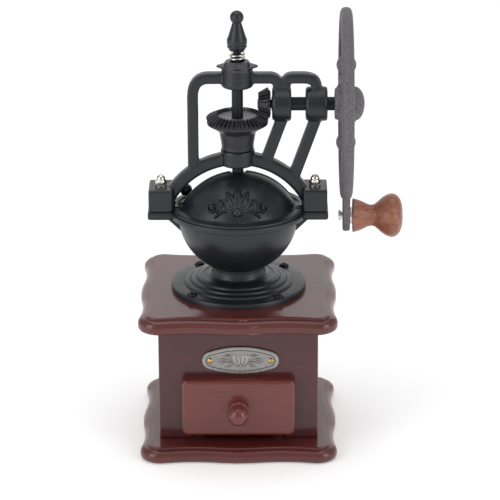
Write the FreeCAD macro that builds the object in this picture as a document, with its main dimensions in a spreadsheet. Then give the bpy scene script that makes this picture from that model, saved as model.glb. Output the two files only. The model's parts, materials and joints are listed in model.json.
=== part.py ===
import FreeCAD, Part
import math
import os

import Sketcher
from FreeCAD import Placement, Rotation, Vector

# Hand-cranked burr coffee grinder with a cast frame on a wooden drawer box.
# Frame: millimetres, +Z up, origin at the centre of the foot board's underside,
# the spindle on the Z axis, the drawer facing -Y and the hand wheel on the +X side.

DOC = FreeCAD.newDocument("coffee_grinder")

# ---------------------------------------------------------------- driving dimensions

DIMENSIONS = {
    # wooden boards and box
    "plate_width": 119.6,
    "plate_wave": 2.0,
    "plate_wave_place": 27.0,
    "plate_bulge_radius": 91.6,
    "plate_slab": 7.9,
    "plate_step": 1.1,
    "plate_step_inset": 4.6,
    "plate_top_round": 4.2,
    "plate_bottom_round": 2.8,
    "box_width": 96.3,
    "box_depth": 80.0,
    "box_height": 74.6,
    "wall": 7.0,
    "burr_hole_radius": 25.2,
    # drawer
    "opening_width": 57.0,
    "opening_height": 38.2,
    "drawer_front_width": 68.6,
    "drawer_front_height": 36.4,
    "drawer_front_thick": 8.0,
    "drawer_front_base": 13.6,
    "drawer_wall": 4.0,
    "drawer_depth": 62.0,
    "tray_base": 14.6,
    "tray_height": 31.0,
    "runner_width": 6.0,
    "knob_height": 31.0,
    "knob_ball_radius": 5.8,
    # name plate
    "badge_width": 46.4,
    "badge_height": 18.0,
    "badge_end_radius": 6.0,
    "badge_thick": 1.3,
    "badge_place_x": 1.4,
    "badge_place_z": 60.4,
    "badge_nail_spread": 18.4,
    # bowl
    "flange_radius": 41.0,
    "flange_thick": 3.3,
    "flange_screw_circle": 37.0,
    "flange_screw_turn": 41.4,
    "neck_radius": 16.2,
    "neck_bore": 12.6,
    "bowl_radius": 36.4,
    "bowl_wall": 3.2,
    "bowl_centre": 140.3,
    "rim_height": 144.3,
    "rim_radius": 41.6,
    "rim_thick": 3.6,
    "ear_thick": 4.7,
    "foot_place": 46.5,
    "foot_width": 14.8,
    "foot_depth": 22.0,
    "foot_tall": 14.0,
    # lid
    "lid_ring": 1.5,
    "lid_ring_radius": 40.6,
    "dome_radius": 38.5,
    "dome_centre": 129.0,
    "dome_wall": 1.5,
    "dome_turn": 7.0,
    "door_gap": 0.6,
    "door_wall": 1.4,
    # yoke
    "arch_centre": 128.3,
    "arch_inner": 43.5,
    "arch_outer": 51.3,
    "frame_thick": 8.6,
    "frame_round": 2.4,
    "post_outer": 30.2,
    "post_width": 6.9,
    "bar_top": 229.2,
    "bar_thick": 6.3,
    "drive_height": 209.6,
    "block_radius": 10.35,
    "boss_radius": 9.95,
    "boss_base": 220.4,
    "boss_top": 232.6,
    "collar_radius": 10.3,
    "collar_top": 181.8,
    # shafts and gears
    "spindle_radius": 3.43,
    "shaft_radius": 4.1,
    "running_gap": 0.05,
    "bush_wall": 1.8,
    "gear_module": 0.925,
    "crown_teeth": 40,
    "pinion_teeth": 20,
    "face_width": 6.6,
    "backlash": 0.14,
    # hand wheel and grip
    "wheel_place": 65.0,
    "wheel_radius": 57.6,
    "wheel_rim_wide": 7.4,
    "wheel_rim_deep": 7.2,
    "crank_radius": 70.9,
    "lug_radius": 9.6,
    "lug_thick": 5.4,
    # burrs
    "ring_burr_radius": 18.6,
    "ring_burr_base": 75.0,
    "cone_burr_base": 74.0,
    "cone_burr_tall": 21.0,
}

SHEET = DOC.addObject("Spreadsheet::Sheet", "dims")
for row, (alias, number) in enumerate(DIMENSIONS.items(), start=1):
    SHEET.set(f"A{row}", alias)
    SHEET.set(f"B{row}", str(number))
    SHEET.setAlias(f"B{row}", alias)
DOC.recompute()


class Size:
    """A length worked out from the sheet: its number and the expression behind it."""

    def __init__(self, number, text):
        self.number = float(number)
        self.text = text

    def _join(self, other, sign, number):
        right = other.text if isinstance(other, Size) else repr(float(other))
        return Size(number, f"({self.text} {sign} {right})")

    def __add__(self, other):
        return self._join(other, "+", self.number + amount(other))

    def __sub__(self, other):
        return self._join(other, "-", self.number - amount(other))

    def __mul__(self, other):
        return self._join(other, "*", self.number * amount(other))

    def __truediv__(self, other):
        return self._join(other, "/", self.number / amount(other))

    def __neg__(self):
        return Size(-self.number, f"(0 - {self.text})")


def amount(value):
    """The plain number of a Size or a number."""
    return value.number if isinstance(value, Size) else float(value)


def dim(alias):
    """The Size of one cell of the sheet."""
    return Size(SHEET.get(alias), f"dims.{alias}")


def bind(obj, prop, value):
    """Set a property to a Size through an expression, or to a plain number."""
    if isinstance(value, Size):
        obj.setExpression(prop, value.text)
    else:
        setattr(obj, prop, value)


# derived heights and places that several pieces share
PLATE_THICK = dim("plate_slab") + dim("plate_step")
BASE_TOP = PLATE_THICK
BOX_TOP = BASE_TOP + dim("box_height")
COVER_TOP = BOX_TOP + PLATE_THICK + 0.6
FRONT = -(dim("box_depth") / 2)
RIM_TOP = dim("rim_height")
DOME_BASE = RIM_TOP + dim("lid_ring")
FOOT_TOP = RIM_TOP + dim("foot_tall")
DRIVE = dim("drive_height")
WHEEL = dim("wheel_place")
CRANK = DRIVE - dim("crank_radius")
DOME_SCREW_SPOTS = ((-36.8, -6.2), (36.9, -4.4))

# ---------------------------------------------------------------- modelling helpers

NODES = []


def keep(obj, label):
    """Name a finished sub-part and put it on the list that is written out."""
    obj.Label = label
    NODES.append(obj)
    return obj


def place(obj, x=0.0, y=0.0, z=0.0, turn=None):
    """Place a sub-part, with its position bound to the sheet where it is a Size."""
    rotation = turn or Rotation()
    obj.Placement = Placement(Vector(amount(x), amount(y), amount(z)), rotation)
    for axis, value in (("x", x), ("y", y), ("z", z)):
        if isinstance(value, Size):
            obj.setExpression(f"Placement.Base.{axis}", value.text)
    return obj


def new_body(label):
    body = DOC.addObject("PartDesign::Body", label)
    return keep(body, label)


def new_sketch(body, name, role):
    """An empty sketch on one of the body's own origin planes."""
    sketch = body.newObject("Sketcher::SketchObject", f"{body.Name}_{name}")
    plane = [f for f in body.Origin.OriginFeatures if f.Role == role][0]
    sketch.AttachmentSupport = [(plane, "")]
    sketch.MapMode = "FlatFace"
    return sketch


def pin_point(sketch, geometry, end, point):
    """Hold one end of a sketch line at a place given by Sizes or numbers."""
    for kind, value, axis in (("DistanceX", point[0], -2), ("DistanceY", point[1], -1)):
        if abs(amount(value)) < 1e-9:
            sketch.addConstraint(Sketcher.Constraint("PointOnObject", geometry, end, axis))
            continue
        rule = Sketcher.Constraint(kind, -1, 1, geometry, end, amount(value))
        index = sketch.addConstraint(rule)
        if isinstance(value, Size):
            sketch.setExpression(f"Constraints[{index}]", value.text)


def polygon(sketch, points):
    """A closed outline of straight lines through the points, each held in place."""
    spots = [Vector(amount(p[0]), amount(p[1]), 0) for p in points]
    count = len(spots)
    for i in range(count):
        sketch.addGeometry(Part.LineSegment(spots[i], spots[(i + 1) % count]), False)
    for i in range(count):
        sketch.addConstraint(Sketcher.Constraint("Coincident", i, 2, (i + 1) % count, 1))
    for i in range(count):
        pin_point(sketch, i, 1, points[i])
    return sketch


def circle(sketch, x, y, radius):
    """A circle held by its centre and radius."""
    centre = Vector(amount(x), amount(y), 0)
    index = sketch.addGeometry(Part.Circle(centre, Vector(0, 0, 1), amount(radius)), False)
    pin_point(sketch, index, 3, (x, y))
    rule = sketch.addConstraint(Sketcher.Constraint("Radius", index, amount(radius)))
    if isinstance(radius, Size):
        sketch.setExpression(f"Constraints[{rule}]", radius.text)
    return sketch


def pad(body, sketch, length, symmetric=False, backwards=False):
    feature = body.newObject("PartDesign::Pad", f"{sketch.Name}_pad")
    feature.Profile = sketch
    bind(feature, "Length", length)
    feature.Midplane = symmetric
    feature.Reversed = backwards
    sketch.Visibility = False
    return feature


def cut(body, sketch, length=None, symmetric=False, backwards=False):
    """Pocket to a depth, or through everything when no depth is given."""
    feature = body.newObject("PartDesign::Pocket", f"{sketch.Name}_cut")
    feature.Profile = sketch
    if length is None:
        feature.Type = "ThroughAll"
    else:
        bind(feature, "Length", length)
    feature.Midplane = symmetric
    feature.Reversed = backwards
    return feature


def turned(label, points, axis="V_Axis", role="XZ_Plane"):
    """A body of revolution: the outline is (radius, height) or (length, radius)."""
    body = new_body(label)
    sketch = polygon(new_sketch(body, "profile", role), points)
    feature = body.newObject("PartDesign::Revolution", f"{label}_revolve")
    feature.Profile = sketch
    feature.ReferenceAxis = (sketch, [axis])
    feature.Angle = 360.0
    return body


def round_off(body, picker, radius, name="round", kind="Fillet"):
    """Fillet or chamfer the edges of the body's tip that the picker accepts."""
    DOC.recompute()
    tip = body.Tip
    names = [f"Edge{i + 1}" for i, edge in enumerate(tip.Shape.Edges) if picker(edge)]
    feature = body.newObject(f"PartDesign::{kind}", f"{body.Name}_{name}")
    feature.Base = (tip, names)
    bind(feature, "Radius" if kind == "Fillet" else "Size", radius)
    DOC.recompute()
    return feature


def box(label, size_x, size_y, size_z, x, y, z, edge_round=0.0, list_it=True):
    """A block with its low corner at x, y, z, its long edges eased if asked."""
    block = DOC.addObject("Part::Box", f"{label}_block")
    bind(block, "Length", size_x)
    bind(block, "Width", size_y)
    bind(block, "Height", size_z)
    place(block, x, y, z)
    if edge_round == 0.0:
        return keep(block, label) if list_it else block
    DOC.recompute()
    eased = DOC.addObject("Part::Fillet", f"{label}_eased")
    eased.Base = block
    count = len(block.Shape.Edges)
    eased.Edges = [(i + 1, edge_round, edge_round) for i in range(count)]
    return keep(eased, label) if list_it else eased


def group(label, shapes):
    """Several separate solids of one kind kept in one sub-part."""
    feature = DOC.addObject("Part::Feature", label)
    feature.Shape = Part.makeCompound(shapes)
    return keep(feature, label)


def solid_of_revolution(points, base=Vector(), direction=Vector(0, 0, 1)):
    """Turn an (radius, height) outline about Z, then lay its axis along a direction."""
    wire = Part.makePolygon([Vector(r, 0, z) for r, z in points + points[:1]])
    solid = Part.Face(wire).revolve(Vector(), Vector(0, 0, 1), 360)
    solid.Placement = Placement(base, Rotation(Vector(0, 0, 1), direction))
    return solid


def arc_between(centre, radius, start, end):
    """The shorter arc about a centre from one point to another, as sketch geometry."""
    middle = (start + end) * 0.5 - centre
    middle.normalize()
    return Part.Arc(start, centre + middle * radius, end)


def unit(degrees):
    angle = math.radians(degrees)
    return Vector(math.cos(angle), math.sin(angle), 0)


# ---------------------------------------------------------------- wooden boards


def wavy_outline(inset):
    """The serpentine outline: a bulge mid-side, two hollows and a round corner each."""
    half = dim("plate_width").number / 2
    wave = dim("plate_wave").number
    hollow_place = dim("plate_wave_place").number
    bulge = dim("plate_bulge_radius").number
    hollow = (hollow_place**2 + wave**2) / (2 * wave) - bulge
    hollow_x = half - wave + hollow
    across, along = hollow_x - half, hollow_place - half
    linear = across + along - hollow
    corner = -linear - math.sqrt(linear**2 - (across**2 + along**2 - hollow**2))
    if corner <= 0:
        corner = -linear + math.sqrt(linear**2 - (across**2 + along**2 - hollow**2))
    bulge_centre = Vector(half - bulge, 0, 0)
    hollow_centre = Vector(hollow_x, hollow_place, 0)
    corner_centre = Vector(half - corner, half - corner, 0)
    to_hollow = (hollow_centre - bulge_centre).normalize()
    to_corner = (corner_centre - hollow_centre).normalize()
    first = bulge_centre + to_hollow * (bulge - inset)
    second = hollow_centre + to_corner * (hollow + inset)
    mirrored = Vector(first.x, -first.y, 0)
    swapped = Vector(second.y, second.x, 0)
    arcs = []
    for quarter in range(4):
        spin = Rotation(Vector(0, 0, 1), 90 * quarter)
        pieces = [
            (bulge_centre, bulge - inset, mirrored, first),
            (hollow_centre, hollow + inset, first, second),
            (corner_centre, corner - inset, second, swapped),
            (Vector(hollow_place, hollow_x, 0), hollow + inset, swapped, Vector(-mirrored.y, first.x, 0)),
        ]
        for centre, radius, start, end in pieces:
            turned_points = [spin.multVec(p) for p in (centre, start, end)]
            arcs.append(arc_between(turned_points[0], radius, turned_points[1], turned_points[2]))
    return arcs


def draw_arcs(sketch, arcs):
    """Put an outline of tangent arcs in a sketch, fixed where it was worked out."""
    for arc in arcs:
        index = sketch.addGeometry(arc, False)
        sketch.addConstraint(Sketcher.Constraint("Block", index))


def board(label, bottom, extra):
    """A board with the serpentine edge: full slab with round edge, inset step on top."""
    body = new_body(label)
    slab = new_sketch(body, "slab", "XY_Plane")
    draw_arcs(slab, wavy_outline(0.0))
    pad(body, slab, dim("plate_slab") + extra)
    top = dim("plate_slab").number + extra

    def on_top(edge):
        return edge.BoundBox.ZMin > top - 0.01

    def on_bottom(edge):
        return edge.BoundBox.ZMax < 0.01

    round_off(body, on_top, dim("plate_top_round"), "top_round")
    round_off(body, on_bottom, dim("plate_bottom_round"), "bottom_round")
    step = new_sketch(body, "step", "XY_Plane")
    draw_arcs(step, wavy_outline(dim("plate_step_inset").number))
    pad(body, step, PLATE_THICK + extra)
    place(body, z=bottom)
    return body


def make_boards():
    board("base_plate", 0.0, 0.0)
    cover = board("top_plate", BOX_TOP, 0.6)
    hole = circle(new_sketch(cover, "burr_hole", "XY_Plane"), 0.0, 0.0, dim("burr_hole_radius"))
    cut(cover, hole, backwards=True)
    DOC.recompute()


def make_box_walls():
    wide, deep, tall, wall = (dim(n) for n in ("box_width", "box_depth", "box_height", "wall"))
    ease = 1.0
    panel = box("front_panel", wide, wall, tall, -(wide / 2), FRONT, BASE_TOP, ease, False)
    mouth = box(
        "drawer_mouth", dim("opening_width"), wall * 3, dim("opening_height") + 1.0,
        -(dim("opening_width") / 2), FRONT - wall, BASE_TOP - 1.0, 0.0, False)
    front = DOC.addObject("Part::Cut", "front_panel_cut")
    front.Base = panel
    front.Tool = mouth
    keep(front, "front_panel")
    box("rear_panel", wide, wall, tall, -(wide / 2), deep / 2 - wall, BASE_TOP, ease)
    inner = deep - wall * 2
    box("left_panel", wall, inner, tall, -(wide / 2), FRONT + wall, BASE_TOP)
    box("right_panel", wall, inner, tall, wide / 2 - wall, FRONT + wall, BASE_TOP)


# ---------------------------------------------------------------- drawer


def make_drawer():
    wide, tall = dim("drawer_front_width"), dim("drawer_front_height")
    thick, base = dim("drawer_front_thick"), dim("drawer_front_base")
    body = new_body("drawer_front")
    outline = new_sketch(body, "outline", "XZ_Plane")
    polygon(outline, [(-(wide / 2), 0.0), (wide / 2, 0.0), (wide / 2, tall), (-(wide / 2), tall)])
    pad(body, outline, thick)
    round_off(body, lambda edge: edge.Length < thick.number + 0.01, 3.6, "corner_round")
    round_off(body, lambda edge: edge.BoundBox.YMax < -thick.number + 0.01, 2.4, "face_round")
    place(body, 0.0, FRONT, base)
    wall, depth, low = dim("drawer_wall"), dim("drawer_depth"), dim("tray_base")
    high = dim("tray_height")
    half = dim("opening_width") / 2 - 0.5
    back_y = FRONT + depth
    box("drawer_left_side", wall, depth - wall, high, -half, FRONT, low)
    box("drawer_right_side", wall, depth - wall, high, half - wall, FRONT, low)
    box("drawer_back", half * 2, wall, high, -half, back_y - wall, low)
    box("drawer_bottom", (half - wall) * 2, depth - wall, 3.0, -(half - wall), FRONT, low)
    runner = dim("runner_width")
    length = dim("box_depth") - dim("wall") * 2
    rise = low - BASE_TOP - 0.3
    for side, start in (("left", -half), ("right", half - runner)):
        box(f"{side}_runner", runner, length, rise, start, FRONT + dim("wall"), BASE_TOP)
    ball = dim("knob_ball_radius")
    points = [(2.0, 0.0), (6.9, 0.0), (6.7, 0.9), (4.6, 2.2), (3.5, 3.6), (3.7, 4.5)]
    centre = 8.8
    for degrees in (-42, -24, -6, 12, 30, 48, 66, 80):
        angle = math.radians(degrees)
        points.append((math.cos(angle) * ball.number, centre + math.sin(angle) * ball.number))
    points += [(0.0, centre + ball.number), (0.0, 7.0), (2.0, 7.0)]
    knob = turned("drawer_knob", points)
    place(knob, 0.0, FRONT - thick, dim("knob_height"), Rotation(Vector(1, 0, 0), 90))
    screw = solid_of_revolution(
        [(0.0, -14.7), (3.6, -14.7), (3.4, -13.3), (3.4, -12.95), (1.4, -12.95), (1.4, -0.2), (0.0, -0.2)])
    face = FRONT - thick
    hole = circle(new_sketch(body, "knob_hole", "XZ_Plane"), 0.0, dim("knob_height") - base, 1.6)
    cut(body, hole, symmetric=True)
    DOC.recompute()
    feature = DOC.addObject("Part::Feature", "knob_screw")
    feature.Shape = screw
    keep(feature, "knob_screw")
    place(feature, 0.0, face - 4.9, dim("knob_height"), Rotation(Vector(1, 0, 0), 90))


# ---------------------------------------------------------------- name plate


def badge_outline(shrink):
    """A flattened oval: two long arcs above and below, two tight arcs at the ends."""
    half_wide = dim("badge_width").number / 2 - shrink
    half_tall = dim("badge_height").number / 2 - shrink
    end = dim("badge_end_radius").number - shrink
    reach = half_wide - end
    long_radius = (reach**2 + half_tall**2 - end**2) / (2 * (half_tall - end))
    top_centre = Vector(0, half_tall - long_radius, 0)
    end_centre = Vector(reach, 0, 0)
    joint = top_centre + (end_centre - top_centre).normalize() * long_radius
    corners = [Vector(joint.x * sx, joint.y * sy, 0) for sx, sy in ((1, -1), (1, 1), (-1, 1), (-1, -1))]
    low_centre = Vector(0, -top_centre.y, 0)
    return [
        Part.Arc(corners[0], Vector(half_wide, 0, 0), corners[1]),
        arc_between(top_centre, long_radius, corners[1], corners[2]),
        Part.Arc(corners[2], Vector(-half_wide, 0, 0), corners[3]),
        arc_between(low_centre, long_radius, corners[3], corners[0]),
    ]


def make_badge():
    """Cast oval plate with a raised rim, a raised middle field and two nail holes."""
    body = new_body("nameplate")
    thick = dim("badge_thick")
    sketch = new_sketch(body, "outline", "XZ_Plane")
    draw_arcs(sketch, badge_outline(0.0))
    pad(body, sketch, thick)
    trough = new_sketch(body, "trough", "XZ_Plane")
    draw_arcs(trough, badge_outline(1.0))
    draw_arcs(trough, badge_outline(2.0))
    floor = new_sketch(body, "floor", "XZ_Plane")
    draw_arcs(floor, badge_outline(1.0))
    draw_arcs(floor, badge_outline(2.0))
    cut(body, trough, thick, backwards=True)
    pad(body, floor, thick - 0.45)
    DOC.recompute()
    for index, side in enumerate((-1, 1)):
        spread = dim("badge_nail_spread") * side
        hole = circle(new_sketch(body, f"hole_{index}", "XZ_Plane"), spread, 0.0, 0.9)
        cut(body, hole, symmetric=True)
    DOC.recompute()
    place(body, dim("badge_place_x"), FRONT, dim("badge_place_z"))
    nails = []
    for side in (-1, 1):
        x = dim("badge_place_x").number + dim("badge_nail_spread").number * side
        base = Vector(x, FRONT.number - thick.number, dim("badge_place_z").number)
        outline = [(0.0, -6.0), (0.3, -5.4), (0.75, -5.0), (0.75, 0.0), (1.7, 0.0), (1.5, 0.6),
                   (0.9, 1.0), (0.0, 1.15)]
        nails.append(solid_of_revolution(outline, base, Vector(0, -1, 0)))
    group("nameplate_nails", nails)


# ---------------------------------------------------------------- cast bowl


def bowl_profile():
    """Half section of the bowl: stepped flange, neck, round bowl and rim, then inside."""
    low = COVER_TOP.number
    flange, thick = dim("flange_radius").number, dim("flange_thick").number
    outer, wall = dim("bowl_radius").number, dim("bowl_wall").number
    middle, rim = dim("bowl_centre").number, RIM_TOP.number
    neck, bore = dim("neck_radius").number, dim("neck_bore").number
    lip = dim("rim_radius").number
    edges = []
    spot = [Vector(19.0, 0, low)]

    def line(radius, height):
        edges.append(Part.LineSegment(spot[0], Vector(radius, 0, height)).toShape())
        spot[0] = Vector(radius, 0, height)

    def arc(mid_radius, mid_height, radius, height):
        end = Vector(radius, 0, height)
        edges.append(Part.Arc(spot[0], Vector(mid_radius, 0, mid_height), end).toShape())
        spot[0] = end

    line(flange, low)
    line(flange, low + thick - 0.8)
    arc(flange - 0.24, low + thick - 0.24, flange - 0.8, low + thick)
    line(33.2, low + thick)
    height = low + thick
    for radius in (29.3, 25.4, 21.5):
        arc(radius + 3.1, height + 1.25, radius + 0.3, height + 1.6)
        height += 1.6
        line(radius, height - 0.15)
        height -= 0.15
    joint = middle - math.sqrt(outer**2 - neck**2)
    arc(neck + 0.9, height + 2.2, neck, height + 3.6)
    line(neck, joint)
    half_way = math.atan2(joint - middle, neck) / 2
    arc(outer * math.cos(half_way), middle + outer * math.sin(half_way), outer, middle)
    line(lip - 1.2, rim - dim("rim_thick").number)
    arc(lip - 0.2, rim - dim("rim_thick").number + 0.5, lip, rim - dim("rim_thick").number + 1.4)
    line(lip, rim - 0.5)
    line(lip - 0.5, rim)
    line(38.2, rim)
    line(38.2, rim - 1.0)
    line(35.0, rim - 1.0)
    inner = outer - wall
    line(inner, middle)
    inner_turn = -math.acos(bore / inner)
    arc(inner * math.cos(inner_turn / 2), middle + inner * math.sin(inner_turn / 2),
        bore, middle + inner * math.sin(inner_turn))
    line(bore, low + 7.2)
    line(19.0, low + 5.2)
    line(19.0, low)
    return Part.Face(Part.Wire(edges))


def make_bowl():
    casting = bowl_profile().revolve(Vector(), Vector(0, 0, 1), 360)
    rim, thick = RIM_TOP.number, dim("ear_thick").number
    place_x, deep = dim("foot_place").number, dim("foot_depth").number
    wide = dim("foot_width").number + 1.2
    clear = Part.makeCylinder(38.2, 20, Vector(0, 0, rim - 1.0))
    inner_ball = Part.makeSphere(dim("bowl_radius").number - dim("bowl_wall").number,
                                 Vector(0, 0, dim("bowl_centre").number))
    for side in (-1, 1):
        low_x = side * (place_x + wide / 2) if side < 0 else 30.0
        ear = Part.makeBox(place_x + wide / 2 - 30.0, deep + 1.2, thick,
                           Vector(low_x, -(deep + 1.2) / 2, rim - thick))
        ear = ear.makeFillet(1.6, [e for e in ear.Edges if abs(e.BoundBox.ZLength - thick) < 0.01])
        web = Part.makePolygon([
            Vector(side * 33.0, -3, 128.0), Vector(side * (place_x - 5.0), -3, rim - thick),
            Vector(side * 33.0, -3, rim - thick), Vector(side * 33.0, -3, 128.0)])
        web = Part.Face(web).extrude(Vector(0, 6, 0))
        ear = ear.fuse(web).cut(clear).cut(inner_ball)
        casting = casting.fuse(ear)
    for side in (-1, 1):
        drill = Part.makeCylinder(1.7, 20, Vector(side * place_x, 0, rim - 12))
        casting = casting.cut(drill)
    for x, y in DOME_SCREW_SPOTS:
        casting = casting.cut(Part.makeCylinder(0.85, 8, Vector(x, y, rim - 5)))
    for turn in range(4):
        spot = unit(dim("flange_screw_turn").number + 90 * turn) * dim("flange_screw_circle").number
        drill = Part.makeCylinder(1.7, 8, spot + Vector(0, 0, COVER_TOP.number - 1))
        casting = casting.cut(drill)
    feature = DOC.addObject("Part::Feature", "hopper_bowl")
    feature.Shape = casting.removeSplitter()
    keep(feature, "hopper_bowl")


def pan_head(radius, tall, slot, shank_radius, shank):
    """A screw, head upwards from height zero, with a cross recess in the head."""
    outline = [(0.0, -shank), (shank_radius * 0.3, -shank + 0.4), (shank_radius, -shank + 1.6),
               (shank_radius, 0.0), (radius, 0.0), (radius * 0.97, tall * 0.4),
               (radius * 0.78, tall * 0.8), (radius * 0.4, tall), (0.0, tall)]
    screw = solid_of_revolution(outline)
    for angle in (0, 90):
        bar = Part.makeBox(radius * 1.1, slot, tall, Vector(-radius * 0.55, -slot / 2, tall * 0.45))
        bar.rotate(Vector(), Vector(0, 0, 1), angle)
        screw = screw.cut(bar)
    return screw


def make_flange_screws():
    screws = []
    for turn in range(4):
        spot = unit(dim("flange_screw_turn").number + 90 * turn) * dim("flange_screw_circle").number
        screw = pan_head(3.1, 1.9, 0.7, 1.6, 11.0)
        screw.rotate(Vector(), Vector(0, 0, 1), 17 + 31 * turn)
        screw.translate(spot + Vector(0, 0, COVER_TOP.number + dim("flange_thick").number))
        screws.append(screw)
    group("flange_screws", screws)


# ---------------------------------------------------------------- yoke frame


def rounded_post(points, thick, radius):
    """A flat bar outline in the XZ plane, thickened evenly and with eased long edges."""
    wire = Part.makePolygon([Vector(x, -thick / 2, z) for x, z in points + points[:1]])
    solid = Part.Face(wire).extrude(Vector(0, thick, 0))
    long_edges = [e for e in solid.Edges if e.BoundBox.YLength < 0.01]
    return solid.makeFillet(radius, long_edges)


def frame_outline():
    """The plan of the cast frame seen from the front, as faces: arch, post, bar, struts."""
    centre = dim("arch_centre").number
    inner, outer = dim("arch_inner").number, dim("arch_outer").number
    thick, ease = dim("frame_thick").number, dim("frame_round").number
    post, wide = dim("post_outer").number, dim("post_width").number
    top, bar = dim("bar_top").number, dim("bar_thick").number
    foot = RIM_TOP.number
    ring = Part.makeCylinder(outer, thick, Vector(0, thick / 2, centre), Vector(0, -1, 0))
    hole = Part.makeCylinder(inner, thick, Vector(0, thick / 2, centre), Vector(0, -1, 0))
    below = Part.makeBox(120, thick, 90, Vector(-60, -thick / 2, foot + 1.0 - 90))
    arch = ring.cut(hole).cut(below)
    rims = [e for e in arch.Edges if e.BoundBox.YLength < 0.01 and e.Length > 50]
    arch = arch.makeFillet(ease, rims)
    corner_left, corner_right = 12.0, 7.0
    right = 51.0
    outline = [
        Part.LineSegment(Vector(-post, 0, 165), Vector(-post, 0, top - corner_left)).toShape(),
        Part.Arc(Vector(-post, 0, top - corner_left),
                 Vector(-post + corner_left * 0.293, 0, top - corner_left * 0.293),
                 Vector(-post + corner_left, 0, top)).toShape(),
        Part.LineSegment(Vector(-post + corner_left, 0, top), Vector(right - corner_right, 0, top)).toShape(),
        Part.Arc(Vector(right - corner_right, 0, top),
                 Vector(right - corner_right * 0.293, 0, top - corner_right * 0.293),
                 Vector(right, 0, top - corner_right)).toShape(),
    ]
    inside = corner_left - wide + 1.0
    low = top - bar
    web = right - wide - 0.4
    edge_points = [
        (right, top - corner_right), (right, 212.0), (web, 212.0), (web, low - 3.0)]
    for first, second in zip(edge_points, edge_points[1:]):
        line = Part.LineSegment(Vector(first[0], 0, first[1]), Vector(second[0], 0, second[1]))
        outline.append(line.toShape())
    outline += [
        Part.Arc(Vector(web, 0, low - 3.0), Vector(web - 0.88, 0, low - 0.88),
                 Vector(web - 3.0, 0, low)).toShape(),
        Part.LineSegment(Vector(web - 3.0, 0, low), Vector(-post + wide + inside, 0, low)).toShape(),
        Part.Arc(Vector(-post + wide + inside, 0, low),
                 Vector(-post + wide + inside * 0.293, 0, low - inside * 0.293),
                 Vector(-post + wide, 0, low - inside)).toShape(),
        Part.LineSegment(Vector(-post + wide, 0, low - inside), Vector(-post + wide, 0, 165)).toShape(),
        Part.LineSegment(Vector(-post + wide, 0, 165), Vector(-post, 0, 165)).toShape(),
    ]
    face = Part.Face(Part.Wire(outline))
    loop = face.extrude(Vector(0, thick - 0.6, 0))
    loop.translate(Vector(0, -(thick - 0.6) / 2, 0))
    loop = loop.makeFillet(ease, [e for e in loop.Edges if e.BoundBox.YLength < 0.01])
    core = Part.makeCylinder(inner + 2.0, thick * 3, Vector(0, thick * 1.5, centre), Vector(0, -1, 0))
    loop = loop.cut(core)
    neck = rounded_post([(22.4, 214), (30.6, 214), (30.6, low + 3), (22.4, low + 3)], thick - 0.6, ease)
    lean = 0.36
    struts = []
    for foot_x, foot_z in ((13.4, 174.0), (30.0, 164.0)):
        reach = 206.0 - foot_z
        strut = rounded_post(
            [(foot_x, foot_z), (foot_x + 7.4, foot_z), (foot_x + 7.4 + lean * reach, 206.0),
             (foot_x + lean * reach, 206.0)], thick - 0.6, ease)
        struts.append(strut)
    return [arch, loop, neck] + struts


def make_yoke():
    """One casting: arch on two feet, post and top bar, struts, blocks, boss and collar."""
    drive, block = DRIVE.number, dim("block_radius").number
    pieces = frame_outline()
    for start, length in ((20.7, 11.6), (40.7, 13.2)):
        cylinder = Part.makeCylinder(block, length, Vector(start, 0, drive), Vector(1, 0, 0))
        pieces.append(cylinder.makeFillet(0.9, [e for e in cylinder.Edges if len(e.Vertexes) == 1]))
    boss_low, boss_high = dim("boss_base").number, dim("boss_top").number
    boss = Part.makeCone(dim("boss_radius").number, dim("boss_radius").number - 0.7,
                         boss_high - boss_low, Vector(0, 0, boss_low))
    boss = boss.makeFillet(0.8, [e for e in boss.Edges if len(e.Vertexes) == 1])
    collar_top = dim("collar_top").number
    collar = Part.makeCylinder(dim("collar_radius").number, collar_top - 171.6, Vector(0, 0, 171.6))
    collar = collar.makeFillet(0.8, [e for e in collar.Edges if len(e.Vertexes) == 1])
    pieces += [boss, collar]
    wide, deep, tall = (dim(n).number for n in ("foot_width", "foot_depth", "foot_tall"))
    for side in (-1, 1):
        start = Vector(side * dim("foot_place").number - wide / 2, -deep / 2, RIM_TOP.number)
        foot = Part.makeBox(wide, deep, tall, start)
        upright = [e for e in foot.Edges if abs(e.BoundBox.ZLength - tall) < 0.01]
        foot = foot.makeFillet(2.0, upright)
        upper = [e for e in foot.Edges if e.BoundBox.ZMin > FOOT_TOP.number - 0.01]
        pieces.append(foot.makeFillet(1.2, upper))
    casting = pieces[0].fuse(pieces[1:]).removeSplitter()
    bush = dim("bush_wall").number
    shaft_hole = dim("shaft_radius").number + dim("running_gap").number + bush
    spindle_hole = dim("spindle_radius").number + dim("running_gap").number + bush
    bores = [
        Part.makeCylinder(shaft_hole, 11.6, Vector(20.7, 0, drive), Vector(1, 0, 0)),
        Part.makeCylinder(shaft_hole, 13.2, Vector(40.7, 0, drive), Vector(1, 0, 0)),
        Part.makeCylinder(spindle_hole, 14.0, Vector(0, 0, boss_low - 0.5)),
        Part.makeCylinder(spindle_hole, collar_top - 171.0, Vector(0, 0, 171.3)),
    ]
    for side in (-1, 1):
        bores.append(Part.makeCylinder(1.7, 20, Vector(side * dim("foot_place").number, 0, 140)))
    for bore in bores:
        casting = casting.cut(bore)
    feature = DOC.addObject("Part::Feature", "yoke_frame")
    feature.Shape = casting
    keep(feature, "yoke_frame")


def tube(outer, inner, length, base, direction):
    ring = Part.makeCylinder(outer, length, base, direction)
    return ring.cut(Part.makeCylinder(inner, length, base, direction))


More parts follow.
